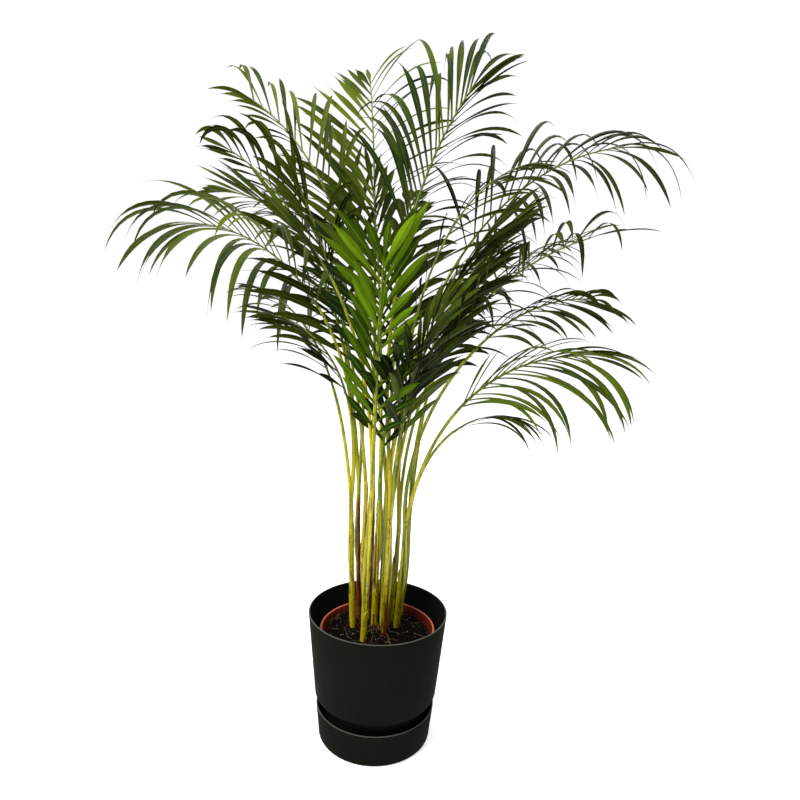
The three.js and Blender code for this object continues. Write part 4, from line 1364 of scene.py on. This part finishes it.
        def marks(share: float, x: float, y: float) -> dict[str, float]:
            """How ripe the stalk is at a corner: as its cane below, and greener above."""
            return {"ripe": mix(ripe, 0.3, ease((share - 0.3) / 0.6)), "dry": 0.0}

        self.blank.tube(line, shape, 10, 36, marks)

    def build(self) -> bpy.types.Object:
        """Makes the cane with all that is on it."""
        self.stem()
        self.sleeve()
        for index in range(self.strands):
            self.strand(index)
        for index, frond in enumerate(FRONDS):
            if frond.cane == self.number + 1:
                self.stalk(index, frond)
        node = f"cane_{self.number + 1:02d}"
        return self.blank.piece(f"{node}_stem", [CANE], Slot.CANE, [node], crease=50)


@dataclass
class Clump:
    """All the canes, and the stubby roots that prop them at the soil."""

    ground: float = 188 * MM
    root_depth: float = 5 * MM
    roots_each: int = 5
    seed: int = 23

    def build(self) -> None:
        """Makes every cane."""
        for number, cane in enumerate(CANES):
            CaneBody(number, cane, Blank("ripe", "dry")).build()

    def feet(self) -> list[Vector]:
        """Where the canes meet the soil."""
        return [cane.at_height(self.ground) for cane in CANES]

    def roots(self) -> bpy.types.Object:
        """Makes the roots, each a bow from the cane's side down into the soil."""
        draw = random.Random(self.seed)
        blank = Blank()
        for cane in (cane for cane in CANES for _ in range(self.roots_each)):
            out = level(draw.uniform(0, math.tau))
            high = draw.uniform(3, 11) * MM
            reach = draw.uniform(5, 12) * MM
            top = cane.at_height(self.ground + high) + out * cane.foot_radius * 0.75
            foot = cane.at_height(self.ground) + out * (cane.foot_radius + reach)
            foot.z = self.ground - self.root_depth
            knee = (top + foot) / 2 + out * reach * 0.25 + Vector((0, 0, high * 0.35))
            shares = [i / 8 for i in range(9)]
            points = [top * (1 - t) ** 2 + knee * 2 * t * (1 - t) + foot * t * t for t in shares]
            radius = draw.uniform(0.9, 1.7) * MM
            line = Line.through(points, Vector((-out.y, out.x, 0)))
            blank.tube(line, lambda t, x, y: (x * radius * (1 - 0.4 * t), y * radius), 6, 8)
        return blank.piece("prop_roots", [ROOT], Slot.CANE, crease=60)


@dataclass
class Crown:
    """All the fronds.

    Leaflets in the crown's core, nearer to the axis than the first field's radius and below the second
    field's height, are painted darker as the shade that the fronds around them cast. A leaflet is widest
    at the share widest of its length, and a dry tail begins at the share tail.
    Widths are shares of its full width, and end_leaflet is the length of a rib's last leaflet as a
    share of its rank's. twist is the most that a blade turns about itself.
    """

    # How near the axis, and below what height, leaflets in the crown's core are painted darker as shade.
    painted_shade_radius: float = 0.13
    painted_shade_top: float = 1.0
    steps: int = 12
    thickness: float = 0.55 * MM
    rib_base: float = 2.5 * MM
    rib_tip: float = 1.2 * MM
    end_leaflet: float = 0.75
    root_width: float = 0.28
    widest: float = 0.55
    tail: float = 0.8
    tail_width: float = 0.1
    twist: float = math.radians(42)

    def rib(self, number: int, frond: Frond, whole: Line) -> bpy.types.Object:
        """Makes a frond's rib, a ridge on its leafy face and rounded below.

        Args:
            number: The frond's number, from 0.
            frond: The frond.
            whole: The line of its stalk and rib.

        Returns:
            The rib's piece.
        """

        def shape(share: float, x: float, y: float) -> tuple[float, float]:
            """Where a corner goes: narrow above and flat below."""
            size = mix(self.rib_base, self.rib_tip, share)
            return x * size * (1 - 0.35 * max(0.0, y)), y * size * (1.0 if y > 0 else 0.75)

        def marks(share: float, x: float, y: float) -> dict[str, float]:
            """How ripe the rib is at a corner."""
            ripe = 0.75 if frond.green is Slot.YOUNG else 0.3
            return {"ripe": ripe * (1 - 0.5 * share), "dry": 0.0}

        blank = Blank("ripe", "dry")
        blank.tube(whole.part(frond.bare, 1, 32), shape, 8, 32, marks)
        node = f"frond_{number + 1:02d}"
        return blank.piece(f"{node}_rib", [STALK], Slot.CANE, [node], crease=50)

    def leaflet_line(self, frond: Frond, whole: Line, side: int, place: float, key: int) -> Line:
        """One leaflet's middle line, from its root on the rib outwards.

        Args:
            frond: The frond.
            whole: The line of its stalk and rib.
            side: 1 or -1.
            place: Its place on the leafy stretch.
            key: What its draws hang on.

        Returns:
            The line, with the leaflet's width across it and its upper face away from it.
        """
        # Each leaflet departs a little from its rank, by draws that hang on its key.
        at_end = place == 1.0
        rank = frond.rank(side)
        share = frond.leafy(place)
        along, sideways, face = frond.axes(share)
        opening = 4.0 if at_end else mix(rank.opening, rank.closing, place) + 5 * wobble(key, 1)
        angle = math.radians(opening)
        vee = math.radians(rank.vee + 8 * wobble(key, 2))
        size = frond.leaflet_length(side, place, key) * (self.end_leaflet if at_end else 1)
        sag = rank.sag * (1 + 0.35 * wobble(key, 4)) * size / (200 * MM)
        curl = 3.2 * max(0.0, wobble(key, 6))
        twist = self.twist * wobble(key, 5)
        edge = 0.0 if at_end else math.radians(rank.edge) * (1 - place**3)
        heading = along * math.cos(angle) + sideways * side * math.sin(angle) * math.cos(vee)
        heading = (heading + face * math.sin(angle) * math.sin(vee)).normalized()
        width = sideways.copy() if at_end else along - heading * along.dot(heading)
        width.normalize()
        hand = -1 if at_end else side
        points, across, away = [whole.at(share)[0]], [], []
        for i in range(self.steps + 1):
            t = i / self.steps
            turn = twist * t * t + edge * ease(t / 0.25)
            turned = width * math.cos(turn) + heading.cross(width) * math.sin(turn)
            across.append(turned * hand)
            away.append(heading.cross(turned) * hand)
            if i == self.steps:
                break
            t = (i + 0.5) / self.steps
            pull = DOWN - heading * DOWN.dot(heading)
            bow = sag * (0.3 + 1.4 * t) + curl * max(0.0, t - 0.7)
            heading = (heading + pull * bow / self.steps).normalized()
            width = (width - heading * width.dot(heading)).normalized()
            points.append(points[-1] + heading * size / self.steps)
        return Line(points, across, away)

    def leaflet(self, frond: Frond, line: Line, key: int, at_end: bool, blank: Blank) -> None:
        """Makes one leaflet: a folded strip, thin at its root and widest past its middle.

        Most end in a blunt tip, and the rest run out to a dry thread.

        Args:
            frond: The frond.
            line: The leaflet's middle line.
            key: What its draws hang on.
            at_end: Whether it is the one at the rib's end.
            blank: The mesh that it goes into.
        """
        full = frond.width * MM * (0.8 if at_end else 1 + 0.14 * wobble(key, 7)) / 2
        root = line.points[0]
        # Painted shade: a leaflet rooted in the crown's core is painted darker, as if shaded by the fronds
        # around it.
        inside = ease(1.3 - math.hypot(root.x, root.y) / self.painted_shade_radius) * ease((self.painted_shade_top - root.z) / 0.2)
        tone_and_shade = 0.5 + 0.45 * wobble(key, 8) - 0.55 * inside + frond.light
        tailed = wobble(key, 9) > 0.1
        fold = 0.34 + 0.1 * wobble(key, 10)

        def outline(share: float) -> float:
            """The blade's width at a place, as a share of its full width."""
            past = share - self.widest
            if past < 0:
                return mix(self.root_width, 1, ease(share / self.widest) ** 1.4)
            if tailed:
                thread = 1 - 0.8 * ease((share - self.tail) / 0.2)
                return max(self.tail_width, 1 - (past / 0.32) ** 2) * thread
            return 1 - (past / 0.455) ** 2.4

        def shape(share: float, x: float, y: float) -> tuple[float, float]:
            """Where a corner goes: the sides flat, and the upper and lower ones raised to a fold."""
            half = full * outline(share)
            ridge = half * fold
            up = ridge if y > 0.5 else ridge - self.thickness * (1 - 0.7 * share) if y < -0.5 else 0.0
            return half * x, up

        def marks(share: float, x: float, y: float) -> dict[str, float]:
            """What the finish reads at a corner."""
            dry = ease((share - self.tail) / 0.15) if tailed else 0.0
            return {"across": x, "along": share, "tone_and_shade": tone_and_shade, "dry": dry}

        blank.tube(line, shape, 4, self.steps, marks, under=1)

    def build(self) -> None:
        """Makes every frond."""
        for number, frond in enumerate(FRONDS):
            whole = frond.line(CANES[frond.cane - 1].parting())
            self.rib(number, frond, whole)
            blank = Blank("across", "along", "tone_and_shade", "dry")
            for side, place, key in frond.leaflets(number):
                line = self.leaflet_line(frond, whole, side, place, key)
                self.leaflet(frond, line, key, place == 1.0, blank)
            node = f"frond_{number + 1:02d}"
            blank.piece(f"{node}_leaflets", GREENS[frond.green], frond.green, [node], crease=25)


@dataclass(frozen=True)
class Softbox:
    """A square soft light: where it hangs, how long its side is and how bright it is."""

    name: str
    place: tuple[float, float, float]
    size: float
    watts: float


SOFTBOXES = (
    Softbox("key_softbox", (-1.5, -1.3, 2.6), 1.2, 110),
    Softbox("top_softbox", (0.5, 0.6, 3.0), 1.6, 60),
)


@dataclass
class Studio:
    """A pale floor, soft light from above and the left, and the camera at the viewer's place.

    lens and sensor are in millimetres, place in metres, and pitch and roll in degrees. sky and room
    are how bright it is behind the palm and behind the viewer, and aim is how high the lights point.
    """

    floor_size: float = 60.0
    floor_glow: float = 0.38
    lens: float = 27.0
    sensor: float = 36.0
    place: tuple[float, float, float] = (0.0249, -1.032, 0.754)
    pitch: float = 82.5
    roll: float = 2.25
    sky: float = 1.02
    room: float = 0.42
    aim: float = 0.75

    def floor(self) -> None:
        """Lays the floor."""
        blank = Blank()
        bmesh.ops.create_grid(blank.bm, x_segments=1, y_segments=1, size=self.floor_size / 2)
        mesh = blank.mesh("floor")
        paint = bpy.data.materials.new("matte_white_floor")
        paint.use_nodes = True
        shader = paint.node_tree.nodes["Principled BSDF"]
        shader.inputs["Base Color"].default_value = linear("fbfbfa")
        shader.inputs["Emission Color"].default_value = linear("ffffff")
        shader.inputs["Emission Strength"].default_value = self.floor_glow
        shader.inputs["Roughness"].default_value = 0.9
        shader.inputs["Specular IOR Level"].default_value = 0.1
        mesh.materials.append(paint)
        floor = add_object("floor", mesh)
        floor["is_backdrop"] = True

    def softbox(self, box: Softbox) -> None:
        """Hangs one square soft light, turned towards the palm's middle."""
        lamp = bpy.data.lights.new(box.name, "AREA")
        lamp.shape = "SQUARE"
        lamp.size = box.size
        lamp.energy = box.watts
        made = add_object(box.name, lamp)
        made.location = box.place
        towards = Vector((0, 0, self.aim)) - Vector(box.place)
        made.rotation_euler = towards.to_track_quat("-Z", "Y").to_euler()

    def light(self) -> None:
        """Lights the studio."""
        # A white backdrop stands behind the palm, and the room behind the viewer is dimmer.
        world = bpy.data.worlds.new("studio_white")
        world.use_nodes = True
        tree = world.node_tree
        way = add_node(tree, "TexCoord", out="Generated")
        depth = add_node(tree, "SeparateXYZ", {0: way}, out="Y")
        ends = {"From Min": -0.5, "From Max": 0.5, "To Min": self.room, "To Max": self.sky}
        glow = add_node(tree, "MapRange", {"Value": depth, **ends})
        background = tree.nodes["Background"]
        background.inputs["Color"].default_value = linear("ffffff")
        tree.links.new(glow, background.inputs["Strength"])
        bpy.context.scene.world = world
        for box in SOFTBOXES:
            self.softbox(box)
        view = bpy.context.scene.view_settings
        view.view_transform = "Standard"
        view.look = "None"

    def camera(self) -> None:
        """Sets the camera at the viewer's place."""
        data = bpy.data.cameras.new("viewer")
        data.lens = self.lens
        data.sensor_width = self.sensor
        camera = add_object("viewer", data)
        turn = Matrix.Rotation(math.radians(self.pitch), 4, "X")
        turn = turn @ Matrix.Rotation(math.radians(self.roll), 4, "Z")
        camera.matrix_world = Matrix.Translation(self.place) @ turn
        bpy.context.scene.camera = camera

    def build(self) -> None:
        """Sets up the studio."""
        self.camera()
        self.floor()
        self.light()


def main() -> None:
    """Builds the studio and the palm."""
    logging.basicConfig(level=logging.INFO, format="%(name)s: %(message)s")
    Studio().build()
    planter = Planter.from_frame()
    planter.saucer()
    planter.pot()
    NurseryPot.from_frame().build()
    clump = Clump()
    SoilBed().build(clump.feet())
    clump.build()
    clump.roots()
    Crown().build()
    boxes = {"cad": CAD_BOX, "visual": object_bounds()}
    {name: [list(corner) for corner in box] for name, box in boxes.items()}


if __name__ == "__main__":
    main()
